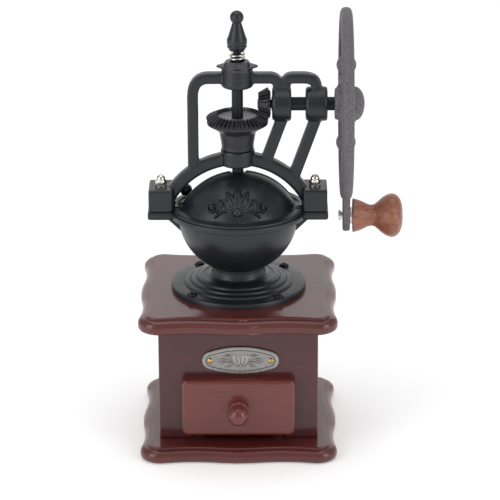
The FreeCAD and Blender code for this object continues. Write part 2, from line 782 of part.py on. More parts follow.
def make_bushings():
    gap, wall = dim("running_gap").number, dim("bush_wall").number
    shaft, spindle = dim("shaft_radius").number, dim("spindle_radius").number
    along = Vector(1, 0, 0)
    shaft_bushes = [
        tube(shaft + gap + wall, shaft + gap, 11.6, Vector(20.7, 0, DRIVE.number), along),
        tube(shaft + gap + wall, shaft + gap, 13.2, Vector(40.7, 0, DRIVE.number), along)]
    group("shaft_bushings", shaft_bushes)
    up = Vector(0, 0, 1)
    collar_low = 171.6
    spindle_bushes = [
        tube(spindle + gap + wall, spindle + gap, dim("boss_top").number - dim("boss_base").number,
             Vector(0, 0, dim("boss_base").number), up),
        tube(spindle + gap + wall, spindle + gap, dim("collar_top").number - collar_low,
             Vector(0, 0, collar_low), up)]
    group("spindle_bushings", spindle_bushes)


def hexagon(across, tall):
    """A hexagon prism that stands on height zero."""
    radius = across / math.sqrt(3)
    corners = [unit(60 * i) * radius for i in range(7)]
    return Part.Face(Part.makePolygon(corners)).extrude(Vector(0, 0, tall))


def make_foot_fasteners():
    """Two bolts up through the ears and feet, each with a washer and a cap nut."""
    bolts, washers, nuts = [], [], []
    for side in (-1, 1):
        x = side * dim("foot_place").number
        under = RIM_TOP.number - dim("ear_thick").number
        head = hexagon(6.0, 2.4)
        shank = Part.makeCylinder(1.5, FOOT_TOP.number - under + 5.0 + 2.4)
        bolt = head.fuse(shank)
        bolt.translate(Vector(x, 0, under - 2.4))
        bolts.append(bolt)
        washers.append(tube(3.6, 1.6, 0.7, Vector(x, 0, FOOT_TOP.number), Vector(0, 0, 1)))
        lower = hexagon(6.0, 3.0)
        cone = Part.makeCone(3.5, 2.7, 3.0)
        skirt = lower.common(Part.makeCone(3.9, 3.2, 3.0))
        dome = Part.makeSphere(2.75, Vector(0, 0, 3.4)).cut(Part.makeBox(9, 9, 9, Vector(-4.5, -4.5, -6.0)))
        dome = dome.fuse(cone.common(Part.makeCylinder(2.75, 3.4)))
        nut = skirt.fuse(dome).cut(Part.makeCylinder(1.5, 4.6))
        nut.translate(Vector(x, 0, FOOT_TOP.number + 0.7))
        nuts.append(nut)
    group("yoke_bolts", bolts)
    group("yoke_washers", washers)
    group("yoke_cap_nuts", nuts)


# ---------------------------------------------------------------- lid


def dome_shell(outer, wall, low, first, last):
    """A slice of a round shell above a height, between two angles about the spindle."""
    centre = Vector(0, 0, dim("dome_centre").number)
    shell = Part.makeSphere(outer, centre).cut(Part.makeSphere(outer - wall, centre))
    keep_above = Part.makeCylinder(60, 60, Vector(0, 0, low))
    return shell.common(keep_above).common(wedge(first, last, 0.0, 60.0, low - 5, 70))


def wedge(first, last, inner, outer, low, tall):
    """A sector block about the spindle between two angles."""
    start = unit(first)
    corners = [(inner, low), (outer, low), (outer, low + tall), (inner, low + tall), (inner, low)]
    face = Part.makePolygon([start * radius + Vector(0, 0, height) for radius, height in corners])
    return Part.Face(face).revolve(Vector(), Vector(0, 0, 1), last - first)


def make_lid():
    """Fixed front half dome with its ring and end tabs, and the turning rear half."""
    turn = dim("dome_turn").number
    radius, wall = dim("dome_radius").number, dim("dome_wall").number
    low, ring = RIM_TOP.number, dim("lid_ring").number
    front = dome_shell(radius, wall, low, 180 + turn, 360 + turn)
    base_radius = math.sqrt(radius**2 - (low + ring - dim("dome_centre").number)**2)
    plate = wedge(180 + turn, 360 + turn, base_radius - wall, dim("lid_ring_radius").number, low, ring)
    front = front.fuse(plate)
    for x, y in DOME_SCREW_SPOTS:
        tab = Part.makeBox(3.9, 8.0, ring, Vector(x - 1.8 if x > 0 else x - 2.1, y - 3.2, low))
        front = front.fuse(tab)
    clearance = dim("foot_place").number - dim("foot_width").number / 2 - 0.3
    for side in (-1, 1):
        start = clearance if side > 0 else -clearance - 10.0
        front = front.cut(Part.makeBox(10.0, 24.0, 8.0, Vector(start, -12.0, low - 1.0)))
    spindle = Part.makeCylinder(dim("spindle_radius").number + 1.2, 60, Vector(0, 0, 130))
    front = front.cut(spindle).removeSplitter()
    screws = []
    for x, y in DOME_SCREW_SPOTS:
        front = front.cut(Part.makeCylinder(0.95, 6, Vector(x, y, low - 2)))
        screw = pan_head(1.7, 0.9, 0.4, 0.8, 5.0)
        screw.translate(Vector(x, y, low + ring))
        screws.append(screw)
    feature = DOC.addObject("Part::Feature", "front_dome")
    feature.Shape = front
    keep(feature, "front_dome")
    group("dome_screws", screws)

    inner = radius - wall - dim("door_gap").number
    door_wall = dim("door_wall").number
    door_low = low - 0.6
    door = dome_shell(inner, door_wall, door_low, 190, 366)
    skirt = dome_shell(inner, door_wall, door_low, 152, 190)
    skirt = skirt.common(Part.makeCylinder(60, 10.5, Vector(0, 0, door_low)))
    hub = Part.makeCylinder(9.0, 60, Vector(0, 0, 130))
    centre = Vector(0, 0, dim("dome_centre").number)
    crown = Part.makeSphere(inner, centre).cut(Part.makeSphere(inner - door_wall, centre)).common(hub)
    door = door.fuse([skirt, crown]).cut(spindle).removeSplitter()
    knob_angle = 160.0
    spot = unit(knob_angle) * 31.6
    rise = dim("dome_centre").number + math.sqrt(inner**2 - 31.6**2)
    lean = (Vector(spot.x, spot.y, rise) - centre).normalize()
    lean = (lean + Vector(0, 0, 1.2)).normalize()
    base = Vector(spot.x, spot.y, rise - 0.2)
    door = door.cut(Part.makeCylinder(1.05, 6, base - lean * 3, lean))
    feature = DOC.addObject("Part::Feature", "rear_door")
    feature.Shape = door
    keep(feature, "rear_door")
    outline = [(0.0, -2.6), (1.0, -2.6), (1.0, 1.5), (2.4, 1.5), (2.2, 2.2)]
    for degrees in (-45, -25, -5, 15, 35, 55, 75):
        angle = math.radians(degrees)
        outline.append((3.9 * math.cos(angle), 5.0 + 3.9 * math.sin(angle)))
    outline.append((0.0, 8.9))
    knob = DOC.addObject("Part::Feature", "door_knob")
    knob.Shape = solid_of_revolution(outline, base, lean)
    keep(knob, "door_knob")


# ---------------------------------------------------------------- bevel gears


def tooth_outline(teeth, cone_angle, module, backlash):
    """Half thickness and height of one tooth at the large end, root to tip.

    The back cone unrolls to a spur gear of teeth / cos(cone angle); its involute
    gives the flank. Each pair is (height above the pitch cone, half thickness).
    """
    pitch = module * teeth / (2 * math.cos(cone_angle))
    base = pitch * math.cos(math.radians(20))
    half_angle = (math.pi * module / 2 - backlash / 2) / (2 * pitch)
    pitch_roll = math.tan(math.radians(20)) - math.radians(20)
    pairs = []
    for step in range(6):
        height = module * (-1.3 + 2.3 * step / 5)
        radius = pitch + height
        if radius > base:
            pressure = math.acos(base / radius)
            roll = math.tan(pressure) - pressure
        else:
            roll = 0.0
        pairs.append((height, radius * math.sin(half_angle + pitch_roll - roll)))
    return pairs


def bevel_tooth(teeth, cone_angle, module, width, backlash):
    """One straight bevel tooth, its apex at the origin and its cone opening down -Z."""
    reach = module * teeth / 2 / math.sin(cone_angle)
    along = Vector(math.sin(cone_angle), 0, -math.cos(cone_angle))
    outward = Vector(math.cos(cone_angle), 0, math.sin(cone_angle))
    pairs = tooth_outline(teeth, cone_angle, module, backlash)
    big = [along * reach + outward * h + Vector(0, half, 0) for h, half in pairs]
    big += [along * reach + outward * h - Vector(0, half, 0) for h, half in reversed(pairs)]
    scale = (reach - width) / reach
    wires = [Part.makePolygon(ring + ring[:1]) for ring in (big, [p * scale for p in big])]
    return Part.makeLoft(wires, True, True)


def bevel_gear(teeth, cone_angle, module, width, backlash, blank, start):
    """A toothed blank: every tooth is the first one turned about the gear's axis."""
    tooth = bevel_tooth(teeth, cone_angle, module, width, backlash)
    copies = []
    for index in range(teeth):
        copy = tooth.copy()
        copy.rotate(Vector(), Vector(0, 0, 1), (index + start) * 360.0 / teeth)
        copies.append(copy)
    return blank.fuse(copies).removeSplitter()


def gear_blank(cone_angle, teeth, module, width, inner_points):
    """A blank whose working face is the root cone, closed by the given points."""
    reach = module * teeth / 2 / math.sin(cone_angle)
    root = 1.18 * module
    outline = []
    for distance in (reach - width, reach):
        scale = distance / reach
        radius = distance * math.sin(cone_angle) - root * scale * math.cos(cone_angle)
        height = -distance * math.cos(cone_angle) - root * scale * math.sin(cone_angle)
        outline.append((radius, height))
    return solid_of_revolution(outline + inner_points(outline))


def make_gears():
    """Crown gear on the spindle and pinion on the shaft, apex at the shafts' crossing."""
    module, width = dim("gear_module").number, dim("face_width").number
    big, small = int(dim("crown_teeth").number), int(dim("pinion_teeth").number)
    crown_angle = math.atan2(big, small)
    pinion_angle = math.atan2(small, big)
    backlash = dim("backlash").number
    drive = DRIVE.number
    spindle = dim("spindle_radius").number
    bottom = dim("collar_top").number + 0.3 - drive

    def crown_points(face):
        inner, outer = face
        return [(outer[0] + 0.5, outer[1] - 0.7), (outer[0] + 0.3, outer[1] - 1.7), (13.6, outer[1] - 4.6),
                (11.0, outer[1] - 7.0), (9.7, bottom + 2.2), (9.7, bottom),
                (spindle + 0.05, bottom), (spindle + 0.05, inner[1] - 1.6), (inner[0] - 0.5, inner[1] - 1.0)]

    crown = bevel_gear(big, crown_angle, module, width, backlash,
                       gear_blank(crown_angle, big, module, width, crown_points), 0.0)
    keyway = Part.makeBox(1.6, 2.0, 12.0, Vector(spindle - 0.4, -1.0, bottom))
    crown = crown.cut(keyway)
    crown.translate(Vector(0, 0, drive))
    feature = DOC.addObject("Part::Feature", "crown_gear")
    feature.Shape = crown
    keep(feature, "crown_gear")
    key = Part.makeBox(2.2, 2.0, 10.0, Vector(spindle - 1.0, -1.0, drive + bottom + 0.5))
    feature = DOC.addObject("Part::Feature", "gear_key")
    feature.Shape = key
    keep(feature, "gear_key")

    bore = 2.6

    def pinion_points(face):
        inner, outer = face
        return [(outer[0] + 0.15, outer[1] - 0.5), (6.6, outer[1] - 0.9), (6.6, -19.9), (bore, -19.9),
                (bore, inner[1] + 0.4), (inner[0] - 0.4, inner[1] + 0.4)]

    pinion = bevel_gear(small, pinion_angle, module, width, backlash,
                        gear_blank(pinion_angle, small, module, width, pinion_points), 0.5)
    pinion = pinion.cut(Part.makeCylinder(0.9, 14, Vector(-7, 0, -18.9), Vector(1, 0, 0)))
    feature = DOC.addObject("Part::Feature", "pinion_gear")
    feature.Shape = pinion
    keep(feature, "pinion_gear")
    lay_down = Rotation(Vector(0, 1, 0), -90)
    place(feature, 0.0, 0.0, DRIVE, lay_down)
    pin = DOC.addObject("Part::Feature", "pinion_pin")
    pin.Shape = Part.makeCylinder(0.9, 12.6, Vector(-6.3, 0, -18.9), Vector(1, 0, 0))
    keep(pin, "pinion_pin")
    place(pin, 0.0, 0.0, DRIVE, lay_down)


# ---------------------------------------------------------------- shafts


def make_spindle():
    """Long spindle: threaded top for the adjusting nut, square foot for the cone burr."""
    radius = dim("spindle_radius")
    low = dim("cone_burr_base").number - 6.0
    points = [
        (0.0, low), (2.4, low), (2.6, low + 0.4), (2.6, 95.3), (radius, 96.3),
        (radius, 233.2), (2.4, 234.0), (2.4, 262.0), (1.8, 262.8), (0.0, 262.8)]
    body = turned("spindle", points)
    DOC.recompute()
    slot = new_sketch(body, "keyway", "XZ_Plane")
    deep, over = radius - 1.05, radius + 1.0
    polygon(slot, [(deep, 180.6), (over, 180.6), (over, 195.4), (deep, 195.4)])
    cut(body, slot, 2.08, symmetric=True)
    DOC.recompute()


def make_drive_shaft():
    """Shaft along X: thin nose for the pinion, journals in both blocks, wheel seat."""
    radius = dim("shaft_radius")
    points = [
        (12.0, 0.0), (12.0, 2.4), (12.2, 2.6), (20.3, 2.6), (20.3, radius), (58.0, radius),
        (58.0, 3.2), (69.8, 3.2), (69.8, 2.4), (73.6, 2.4), (73.6, 0.0)]
    body = turned("drive_shaft", points, axis="H_Axis")
    DOC.recompute()
    hole = circle(new_sketch(body, "pin_hole", "XY_Plane"), 18.9, 0.0, 0.9)
    cut(body, hole, symmetric=True)
    DOC.recompute()
    place(body, z=DRIVE)


# ---------------------------------------------------------------- hand wheel and grip


def bead(points_before, radius, place_at, points_after):
    """A turned spoke outline with a round bead in it, as (radius, distance) pairs."""
    outline = list(points_before)
    for degrees in range(-66, 67, 22):
        angle = math.radians(degrees)
        outline.append((radius * math.cos(angle), place_at + radius * math.sin(angle)))
    return outline + list(points_after)


def make_hand_wheel():
    """Cast wheel: moulded rim, four beaded spokes, hub and a lug for the grip bolt."""
    outer = dim("wheel_radius").number
    wide, deep = dim("wheel_rim_wide").number, dim("wheel_rim_deep").number
    section = [(outer - deep, -wide / 2 + 1.2), (outer - deep + 1.2, -wide / 2), (outer - 2.2, -wide / 2),
               (outer - 0.6, -wide / 2 + 1.6), (outer, 0.0), (outer - 0.6, wide / 2 - 1.6),
               (outer - 2.2, wide / 2), (outer - deep + 1.2, wide / 2), (outer - deep, wide / 2 - 1.2)]
    wheel = solid_of_revolution(section)
    hub = solid_of_revolution([(0.0, -6.9), (9.2, -6.9), (9.9, -6.2), (9.9, -3.4), (8.8, -2.2), (8.8, 3.0),
                               (8.0, 4.4), (0.0, 4.4)])
    spoke_outline = bead([(0.0, 5.0), (3.6, 5.0), (3.2, 12.0), (2.7, 17.0)], 6.1, 24.2,
                         [(2.6, 31.0), (2.9, 40.0), (3.3, outer - deep + 1.5), (0.0, outer - deep + 1.5)])
    pieces = [hub]
    for index in range(4):
        pieces.append(solid_of_revolution(spoke_outline, Vector(), unit(90 * index)))
    lug = dim("lug_radius").number
    thick = dim("lug_thick").number
    crank = dim("crank_radius").number
    ear = Part.makeCylinder(lug, thick, Vector(crank, 0, -thick / 2))
    bridge = Part.makePolygon([Vector(outer - 4, -11.5, -thick / 2), Vector(crank, -lug, -thick / 2),
                               Vector(crank, lug, -thick / 2), Vector(outer - 4, 11.5, -thick / 2),
                               Vector(outer - 4, -11.5, -thick / 2)])
    ear = ear.fuse(Part.Face(bridge).extrude(Vector(0, 0, thick))).removeSplitter()
    pieces.append(ear)
    wheel = wheel.fuse(pieces).removeSplitter()
    wheel = wheel.cut(Part.makeCylinder(3.2, 20, Vector(0, 0, -10)))
    wheel = wheel.cut(Part.makeCylinder(2.0, 20, Vector(crank, 0, -10)))
    feature = DOC.addObject("Part::Feature", "hand_wheel")
    feature.Shape = wheel
    keep(feature, "hand_wheel")
    place(feature, WHEEL, 0.0, DRIVE, Rotation(Vector(0, 1, 0), 90))
    cap = [(0.0, 4.4), (9.9, 4.4), (10.2, 5.2), (9.7, 7.1), (8.2, 9.1), (5.6, 10.5), (2.8, 11.0), (0.0, 11.1)]
    nut = DOC.addObject("Part::Feature", "wheel_cap_nut")
    nut.Shape = solid_of_revolution(cap).cut(Part.makeCylinder(2.4, 8.6, Vector(0, 0, 0)))
    nut.Shape = nut.Shape.cut(Part.makeCylinder(3.2, 0.8, Vector(0, 0, 4.0)))
    keep(nut, "wheel_cap_nut")
    place(nut, WHEEL, 0.0, DRIVE, Rotation(Vector(0, 1, 0), 90))


GRIP_PROFILE = [
    (0.0, 9.9), (0.6, 10.3), (2.2, 9.95), (4.6, 9.1), (7.0, 8.1), (9.4, 6.9), (11.6, 6.45), (13.2, 6.9),
    (15.0, 8.3), (17.2, 10.1), (19.4, 11.7), (21.6, 12.8), (23.8, 13.25), (25.8, 12.9), (27.6, 11.7),
    (29.2, 9.3), (30.1, 6.0), (30.4, 3.3)]


def make_grip():
    """Turned wooden grip, free on its bolt, with a washer at each end."""
    start = WHEEL + dim("lug_thick") / 2 + 1.5
    bore = 2.1
    outline = [(bore, 0.0)] + [(r, x) for x, r in GRIP_PROFILE] + [(bore, 30.4)]
    grip = DOC.addObject("Part::Feature", "hand_grip")
    grip.Shape = solid_of_revolution(outline).cut(Part.makeCylinder(3.4, 3.0, Vector(0, 0, 28.4)))
    keep(grip, "hand_grip")
    sideways = Rotation(Vector(0, 1, 0), 90)
    place(grip, start, 0.0, CRANK, sideways)
    washer = DOC.addObject("Part::Feature", "grip_washer")
    washer.Shape = tube(5.2, 2.0, 1.2, Vector(), Vector(0, 0, 1))
    keep(washer, "grip_washer")
    place(washer, WHEEL + dim("lug_thick") / 2, 0.0, CRANK, sideways)
    bolt = DOC.addObject("Part::Feature", "grip_bolt")
    low = -dim("lug_thick").number - 1.5
    bolt.Shape = solid_of_revolution([(0.0, low - 1.6), (3.2, low - 1.6), (3.2, low), (2.0, low), (2.0, 28.6),
                                      (3.0, 28.6), (2.6, 29.8), (0.0, 30.2)])
    keep(bolt, "grip_bolt")
    place(bolt, start, 0.0, CRANK, sideways)


# ---------------------------------------------------------------- grind adjustment


def spring_solid(radius, wire, low, turns, pitch):
    """A round wire coil."""
    helix = Part.makeHelix(pitch, pitch * turns, radius)
    ring = Part.Wire(Part.makeCircle(wire, Vector(radius, 0, 0), Vector(0, 1, 0)))
    coil = Part.Wire(helix.Edges).makePipeShell([ring], True, True)
    coil.translate(Vector(0, 0, low))
    return coil


def make_adjuster():
    top = dim("boss_top").number
    side = 18.6
    sheet = 1.1
    plate = Part.makeBox(side, side, sheet, Vector(-side / 2, -side / 2, 0))
    plate = plate.makeFillet(1.5, [e for e in plate.Edges if abs(e.BoundBox.ZLength - sheet) < 0.01])
    plate.rotate(Vector(), Vector(0, 0, 1), 45)
    trim = Part.makeBox(30, 10, 10, Vector(-15, -side / math.sqrt(2) - 0.6 - 6.5, -5))
    plate = plate.cut(trim)
    edge_y = -side / math.sqrt(2) - 0.6 + 3.5
    tongue = Part.makeBox(12.6, 1.1, 6.3, Vector(-6.3, edge_y - 0.6, -0.8))
    plate = plate.fuse(tongue)
    for index in range(4):
        spot = unit(90 * index) * 9.4
        if index != 3:
            plate = plate.cut(Part.makeCylinder(0.9, 4, spot - Vector(0, 0, 1)))
    plate = plate.cut(Part.makeCylinder(dim("spindle_radius").number + 0.6, 4, Vector(0, 0, -1)))
    plate.translate(Vector(0, 0, top))
    feature = DOC.addObject("Part::Feature", "detent_plate")
    feature.Shape = plate.removeSplitter()
    keep(feature, "detent_plate")
    ring = DOC.addObject("Part::Feature", "adjuster_ring")
    ring.Shape = solid_of_revolution([(4.2, 0.0), (7.7, 0.0), (7.7, 1.6), (6.9, 2.6), (4.2, 2.6)])
    keep(ring, "adjuster_ring")
    place(ring, z=top + sheet)
    coil = DOC.addObject("Part::Feature", "adjuster_spring")
    coil.Shape = spring_solid(4.3, 0.62, top + sheet + 2.6 + 0.65, 2.35, 2.0)
    keep(coil, "adjuster_spring")
    points = [(2.45, 243.0), (5.6, 243.0), (6.2, 243.7), (6.2, 244.8), (5.7, 245.6), (6.05, 246.4),
              (6.05, 247.4), (5.6, 248.1), (6.0, 248.8), (6.0, 249.6), (5.2, 251.2), (4.4, 253.6),
              (3.75, 256.4), (3.1, 258.8), (3.3, 260.6)]
    ball = 4.1
    for degrees in (-36, -18, 0, 18, 36, 54, 72):
        angle = math.radians(degrees)
        points.append((ball * math.cos(angle), 263.2 + ball * math.sin(angle)))
    points += [(0.0, 267.3), (0.0, 263.6), (2.45, 263.6)]
    turned("finial_nut", points)


# ---------------------------------------------------------------- burrs


def make_burrs():
    """Fluted ring burr under the bowl, and the fluted cone burr that turns in it."""
    outer, low = dim("ring_burr_radius").number, dim("ring_burr_base").number
    top = COVER_TOP.number
    section = [(16.2, low), (outer - 0.4, low), (outer, low + 0.4), (outer, top - 4.4), (24.6, top - 4.4),
               (24.6, top), (18.8, top), (18.8, top + 5.0), (11.6, top + 5.0),
               (12.6, low + 13.0), (14.6, low + 5.0)]
    ring = solid_of_revolution(section)
    for index in range(18):
        tooth_gap = Part.makeBox(2.2, 2.2, 40, Vector(-1.1, -1.1, 0))
        tooth_gap.rotate(Vector(), Vector(0, 0, 1), 45)
        tooth_gap.rotate(Vector(), Vector(0, 1, 0), -5.0)
        tooth_gap.translate(Vector(15.2, 0, low - 4))
        tooth_gap.rotate(Vector(), Vector(0, 0, 1), 20 * index)
        ring = ring.cut(tooth_gap)
    screws = []
    for index in range(3):
        spot = unit(120 * index + 30) * 21.6
        ring = ring.cut(Part.makeCylinder(1.6, 12, spot + Vector(0, 0, top - 6)))
        screw = pan_head(2.7, 1.8, 0.6, 1.5, 8.5)
        screw.rotate(Vector(), Vector(1, 0, 0), 180)
        screw.translate(spot + Vector(0, 0, top - 4.4))
        screws.append(screw)
    feature = DOC.addObject("Part::Feature", "outer_burr")
    feature.Shape = ring.removeSplitter()
    keep(feature, "outer_burr")
    group("burr_screws", screws)
    bowl = DOC.getObject("hopper_bowl")
    shape = bowl.Shape
    for index in range(3):
        spot = unit(120 * index + 30) * 21.6
        shape = shape.cut(Part.makeCylinder(1.5, 5.2, spot + Vector(0, 0, top - 1)))
    bowl.Shape = shape

    base, tall = dim("cone_burr_base").number, dim("cone_burr_tall").number
    cone = solid_of_revolution([(2.6, 0.0), (15.0, 0.0), (15.2, 1.0), (13.4, 8.0), (10.6, 15.0),
                                (8.4, tall), (2.6, tall)])
    for index in range(12):
        gap = Part.makeBox(2.0, 2.0, 40, Vector(-1.0, -1.0, 0))
        gap.rotate(Vector(), Vector(0, 0, 1), 45)
        gap.rotate(Vector(), Vector(1, 0, 0), -14.0)
        gap.rotate(Vector(), Vector(0, 1, 0), -18.5)
        gap.translate(Vector(16.4, -2.0, -3.5))
        gap.rotate(Vector(), Vector(0, 0, 1), 30 * index)
        cone = cone.cut(gap)
    cone.translate(Vector(0, 0, base))
    feature = DOC.addObject("Part::Feature", "inner_burr")
    feature.Shape = cone
    keep(feature, "inner_burr")
    washer = DOC.addObject("Part::Feature", "burr_washer")
    washer.Shape = tube(6.2, 2.6, 1.0, Vector(0, 0, base - 1.0), Vector(0, 0, 1))
    keep(washer, "burr_washer")
    nut = hexagon(8.0, 4.0).cut(Part.makeCylinder(2.6, 4.0))
    nut.translate(Vector(0, 0, base - 5.0))
    feature = DOC.addObject("Part::Feature", "burr_nut")
    feature.Shape = nut
    keep(feature, "burr_nut")


# ---------------------------------------------------------------- small hardware


def make_box_screws():
    """Countersunk wood screws up through the foot board."""
    wide, deep = dim("box_width").number / 2 - 3.5, dim("box_depth").number / 2 - 3.5
    board_body = DOC.getObject("base_plate")
    sink = new_sketch(board_body, "sink", "XY_Plane")
    drill = new_sketch(board_body, "drill", "XY_Plane")
    screws = []
    for sx in (-1, 1):
        for sy in (-1, 1):
            x, y = sx * wide, sy * deep
            circle(sink, x, y, 3.4)
            circle(drill, x, y, 1.6)
            outline = [(0.0, 0.4), (3.2, 0.4), (3.2, 1.2), (1.5, 3.0), (1.5, 22.0), (0.4, 24.0), (0.0, 24.0)]
            screws.append(solid_of_revolution(outline, Vector(x, y, 0)))
    cut(board_body, sink, 3.0, backwards=True)
    cut(board_body, drill, None, backwards=True)
    DOC.recompute()
    group("box_screws", screws)


def drill_panels():
    """Clearance in the front and rear walls for the screws that come up from below."""
    wide, deep = dim("box_width").number / 2 - 3.5, dim("box_depth").number / 2 - 3.5
    for label, side in (("front_panel", -1), ("rear_panel", 1)):
        index = [i for i, node in enumerate(NODES) if node.Label == label][0]
        panel = NODES[index]
        holes = []
        for sx in (-1, 1):
            hole = DOC.addObject("Part::Cylinder", f"{label}_pilot")
            hole.Radius = 1.5
            hole.Height = 16.0
            place(hole, sx * wide, side * deep, BASE_TOP - 1.0)
            holes.append(hole)
        pilots = DOC.addObject("Part::MultiFuse", f"{label}_pilots")
        pilots.Shapes = holes
        drilled = DOC.addObject("Part::Cut", f"{label}_drilled")
        drilled.Base = panel
        drilled.Tool = pilots
        panel.Label = f"{label}_blank"
        drilled.Label = label
        NODES[index] = drilled


# ---------------------------------------------------------------- build and write

make_boards()
make_box_walls()
make_drawer()
make_badge()
make_bowl()
make_flange_screws()
make_yoke()
make_bushings()
make_foot_fasteners()
make_lid()
make_gears()
make_spindle()
make_drive_shaft()
make_hand_wheel()
make_grip()
make_adjuster()
make_burrs()
make_box_screws()
drill_panels()
DOC.recompute()

for obj in DOC.Objects:
    for state in ("Invalid", "Error"):
        if state in obj.State:
            raise RuntimeError(f"{obj.Label} is {state}")

os.makedirs("parts", exist_ok=True)
for node in NODES:
    shape = node.Shape
    if shape.isNull() or not shape.isValid() or not shape.Solids:
        raise RuntimeError(f"{node.Label} has no valid solid")
    print(f"{node.Label:20s} solids {len(shape.Solids)}  volume {shape.Volume:10.1f}")
    shape.exportStep(f"parts/{node.Label}.step")
print(len(NODES), "sub-parts written")
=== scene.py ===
import json
import math

import bmesh
import bpy
from bpy.props import FloatProperty, FloatVectorProperty, PointerProperty
from mathutils import Matrix, Vector


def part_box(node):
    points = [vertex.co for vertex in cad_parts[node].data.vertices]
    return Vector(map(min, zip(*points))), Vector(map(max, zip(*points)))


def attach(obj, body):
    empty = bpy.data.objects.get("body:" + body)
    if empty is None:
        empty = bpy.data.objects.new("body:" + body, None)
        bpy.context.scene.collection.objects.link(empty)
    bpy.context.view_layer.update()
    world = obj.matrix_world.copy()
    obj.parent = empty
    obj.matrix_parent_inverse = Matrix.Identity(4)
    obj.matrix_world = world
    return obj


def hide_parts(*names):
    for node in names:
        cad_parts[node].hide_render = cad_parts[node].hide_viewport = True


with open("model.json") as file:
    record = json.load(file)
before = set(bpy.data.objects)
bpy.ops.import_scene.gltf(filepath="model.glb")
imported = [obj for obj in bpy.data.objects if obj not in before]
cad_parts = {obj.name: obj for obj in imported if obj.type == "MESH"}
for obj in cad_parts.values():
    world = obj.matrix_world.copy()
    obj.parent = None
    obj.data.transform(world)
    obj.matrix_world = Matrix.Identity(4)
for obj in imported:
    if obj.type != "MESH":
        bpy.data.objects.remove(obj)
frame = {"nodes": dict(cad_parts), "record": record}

bl_info = {
    "name": "Box Coffee Mill",
    "version": (1, 0, 0),
    "blender": (4, 5, 0),
    "location": "View3D > Sidebar > Mill",
    "description": "Finished surfaces for a hand-cranked coffee mill with a lacquered box",
    "category": "Object",
}

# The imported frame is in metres. Shapes below are worked out in millimetres and
# turned to metres once, when a piece's mesh is finished.
MM = 0.001

for leftover in ("Cube", "Light", "Camera"):
    if leftover in bpy.data.objects:
        bpy.data.objects.remove(bpy.data.objects[leftover])

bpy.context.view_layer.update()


def box_mm(node):
    """A CAD node's lowest and highest corners at rest, in millimetres."""
    low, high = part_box(node)
    return Vector(low) / MM, Vector(high) / MM


# ------------------------------------------------------------------ settings


def size_prop(name, description, millimetres):
    return FloatProperty(name=name, description=description, default=millimetres, unit="LENGTH")


def colour_prop(name, description, hex_colour):
    return FloatVectorProperty(name=name, description=description, subtype="COLOR", size=3,
                               default=linear(hex_colour)[:3], min=0.0, max=1.0)


def linear(hex_colour):
    """An sRGB hex colour such as #6b2f2b as linear red, green, blue and alpha."""
    values = [int(hex_colour[i:i + 2], 16) / 255 for i in (1, 3, 5)]
    return tuple(v / 12.92 if v <= 0.04045 else ((v + 0.055) / 1.055)**2.4 for v in values) + (1.0,)


class MillWoodSettings(bpy.types.PropertyGroup):
    """Sizes and colours of the wooden pieces."""
    panel_stain: colour_prop("Panel stain", "Stain on the box's panels", "#471417")
    board_stain: colour_prop("Board stain", "Stain on the two moulded boards", "#551c1a")
    front_stain: colour_prop("Front stain", "Stain on the drawer's front and knob", "#672a24")
    step_inset: size_prop("Board step", "How far the board's top field stands in from its edge", 4.6)


class MillIronSettings(bpy.types.PropertyGroup):
    """Colours of the cast and turned iron pieces."""
    enamel: colour_prop("Enamel", "Satin enamel on the castings", "#14181f")
    relief_height: size_prop("Relief height", "Height of the cast ornament on the dome", 1.7)


class MillStageSettings(bpy.types.PropertyGroup):
    """Floor, light and camera."""
    floor_colour: colour_prop("Floor", "Colour of the plain floor", "#ffffff")
    camera_distance: size_prop("Camera distance", "From the aim point to the camera", 1707.0)


def wood_settings():
    return bpy.context.scene.mill_wood


def iron_settings():
    return bpy.context.scene.mill_iron


def stage_settings():
    return bpy.context.scene.mill_stage


# ------------------------------------------------------------------ mesh tools


def add_part(target, part, matrix=None):
    """Move a finished part mesh into the piece's mesh, its faces turned outwards."""
    bmesh.ops.remove_doubles(part, verts=part.verts, dist=1e-4)
    bmesh.ops.recalc_face_normals(part, faces=part.faces)
    if matrix is not None:
        bmesh.ops.transform(part, matrix=matrix, verts=part.verts)
    holder = bpy.data.meshes.new("part")
    part.to_mesh(holder)
    part.free()
    target.from_mesh(holder)
    bpy.data.meshes.remove(holder)


def aim(base, direction):
    """A matrix that lays the local Z axis along a direction from a base point."""
    turn = Vector((0, 0, 1)).rotation_difference(Vector(direction))
    return Matrix.Translation(base) @ turn.to_matrix().to_4x4()


def lathe(target, profile, steps=128, base=(0, 0, 0), direction=(0, 0, 1), closed=False):
    """Turn an outline of (radius, height) pairs a full round about an axis."""
    part = bmesh.new()
    verts = [part.verts.new((radius, 0, height)) for radius, height in profile]
    edges = [part.edges.new(pair) for pair in zip(verts, verts[1:])]
    if closed:
        edges.append(part.edges.new((verts[-1], verts[0])))
    bmesh.ops.spin(part, geom=verts + edges, cent=(0, 0, 0), axis=(0, 0, 1), angle=math.tau,
                   steps=steps, use_merge=True, use_normal_flip=False)
    add_part(target, part, aim(Vector(base), direction))


def soften(points, closed=False, steps=4):
    """Round the corners of an outline; each point is (x, y) or (x, y, corner length)."""
    result = []
    count = len(points)
    for index, point in enumerate(points):
        here = Vector(point[:2])
        reach = point[2] if len(point) > 2 else 0.0
        at_end = not closed and index in (0, count - 1)
        if reach == 0.0 or at_end:
            result.append(tuple(here))
            continue
        before = Vector(points[index - 1][:2]) - here
        after = Vector(points[(index + 1) % count][:2]) - here
        first = here + before.normalized() * min(reach, before.length * 0.49)
        last = here + after.normalized() * min(reach, after.length * 0.49)
        for step in range(steps + 1):
            t = step / steps
            spot = first * (1 - t)**2 + here * 2 * t * (1 - t) + last * t**2
            result.append(tuple(spot))
    return result


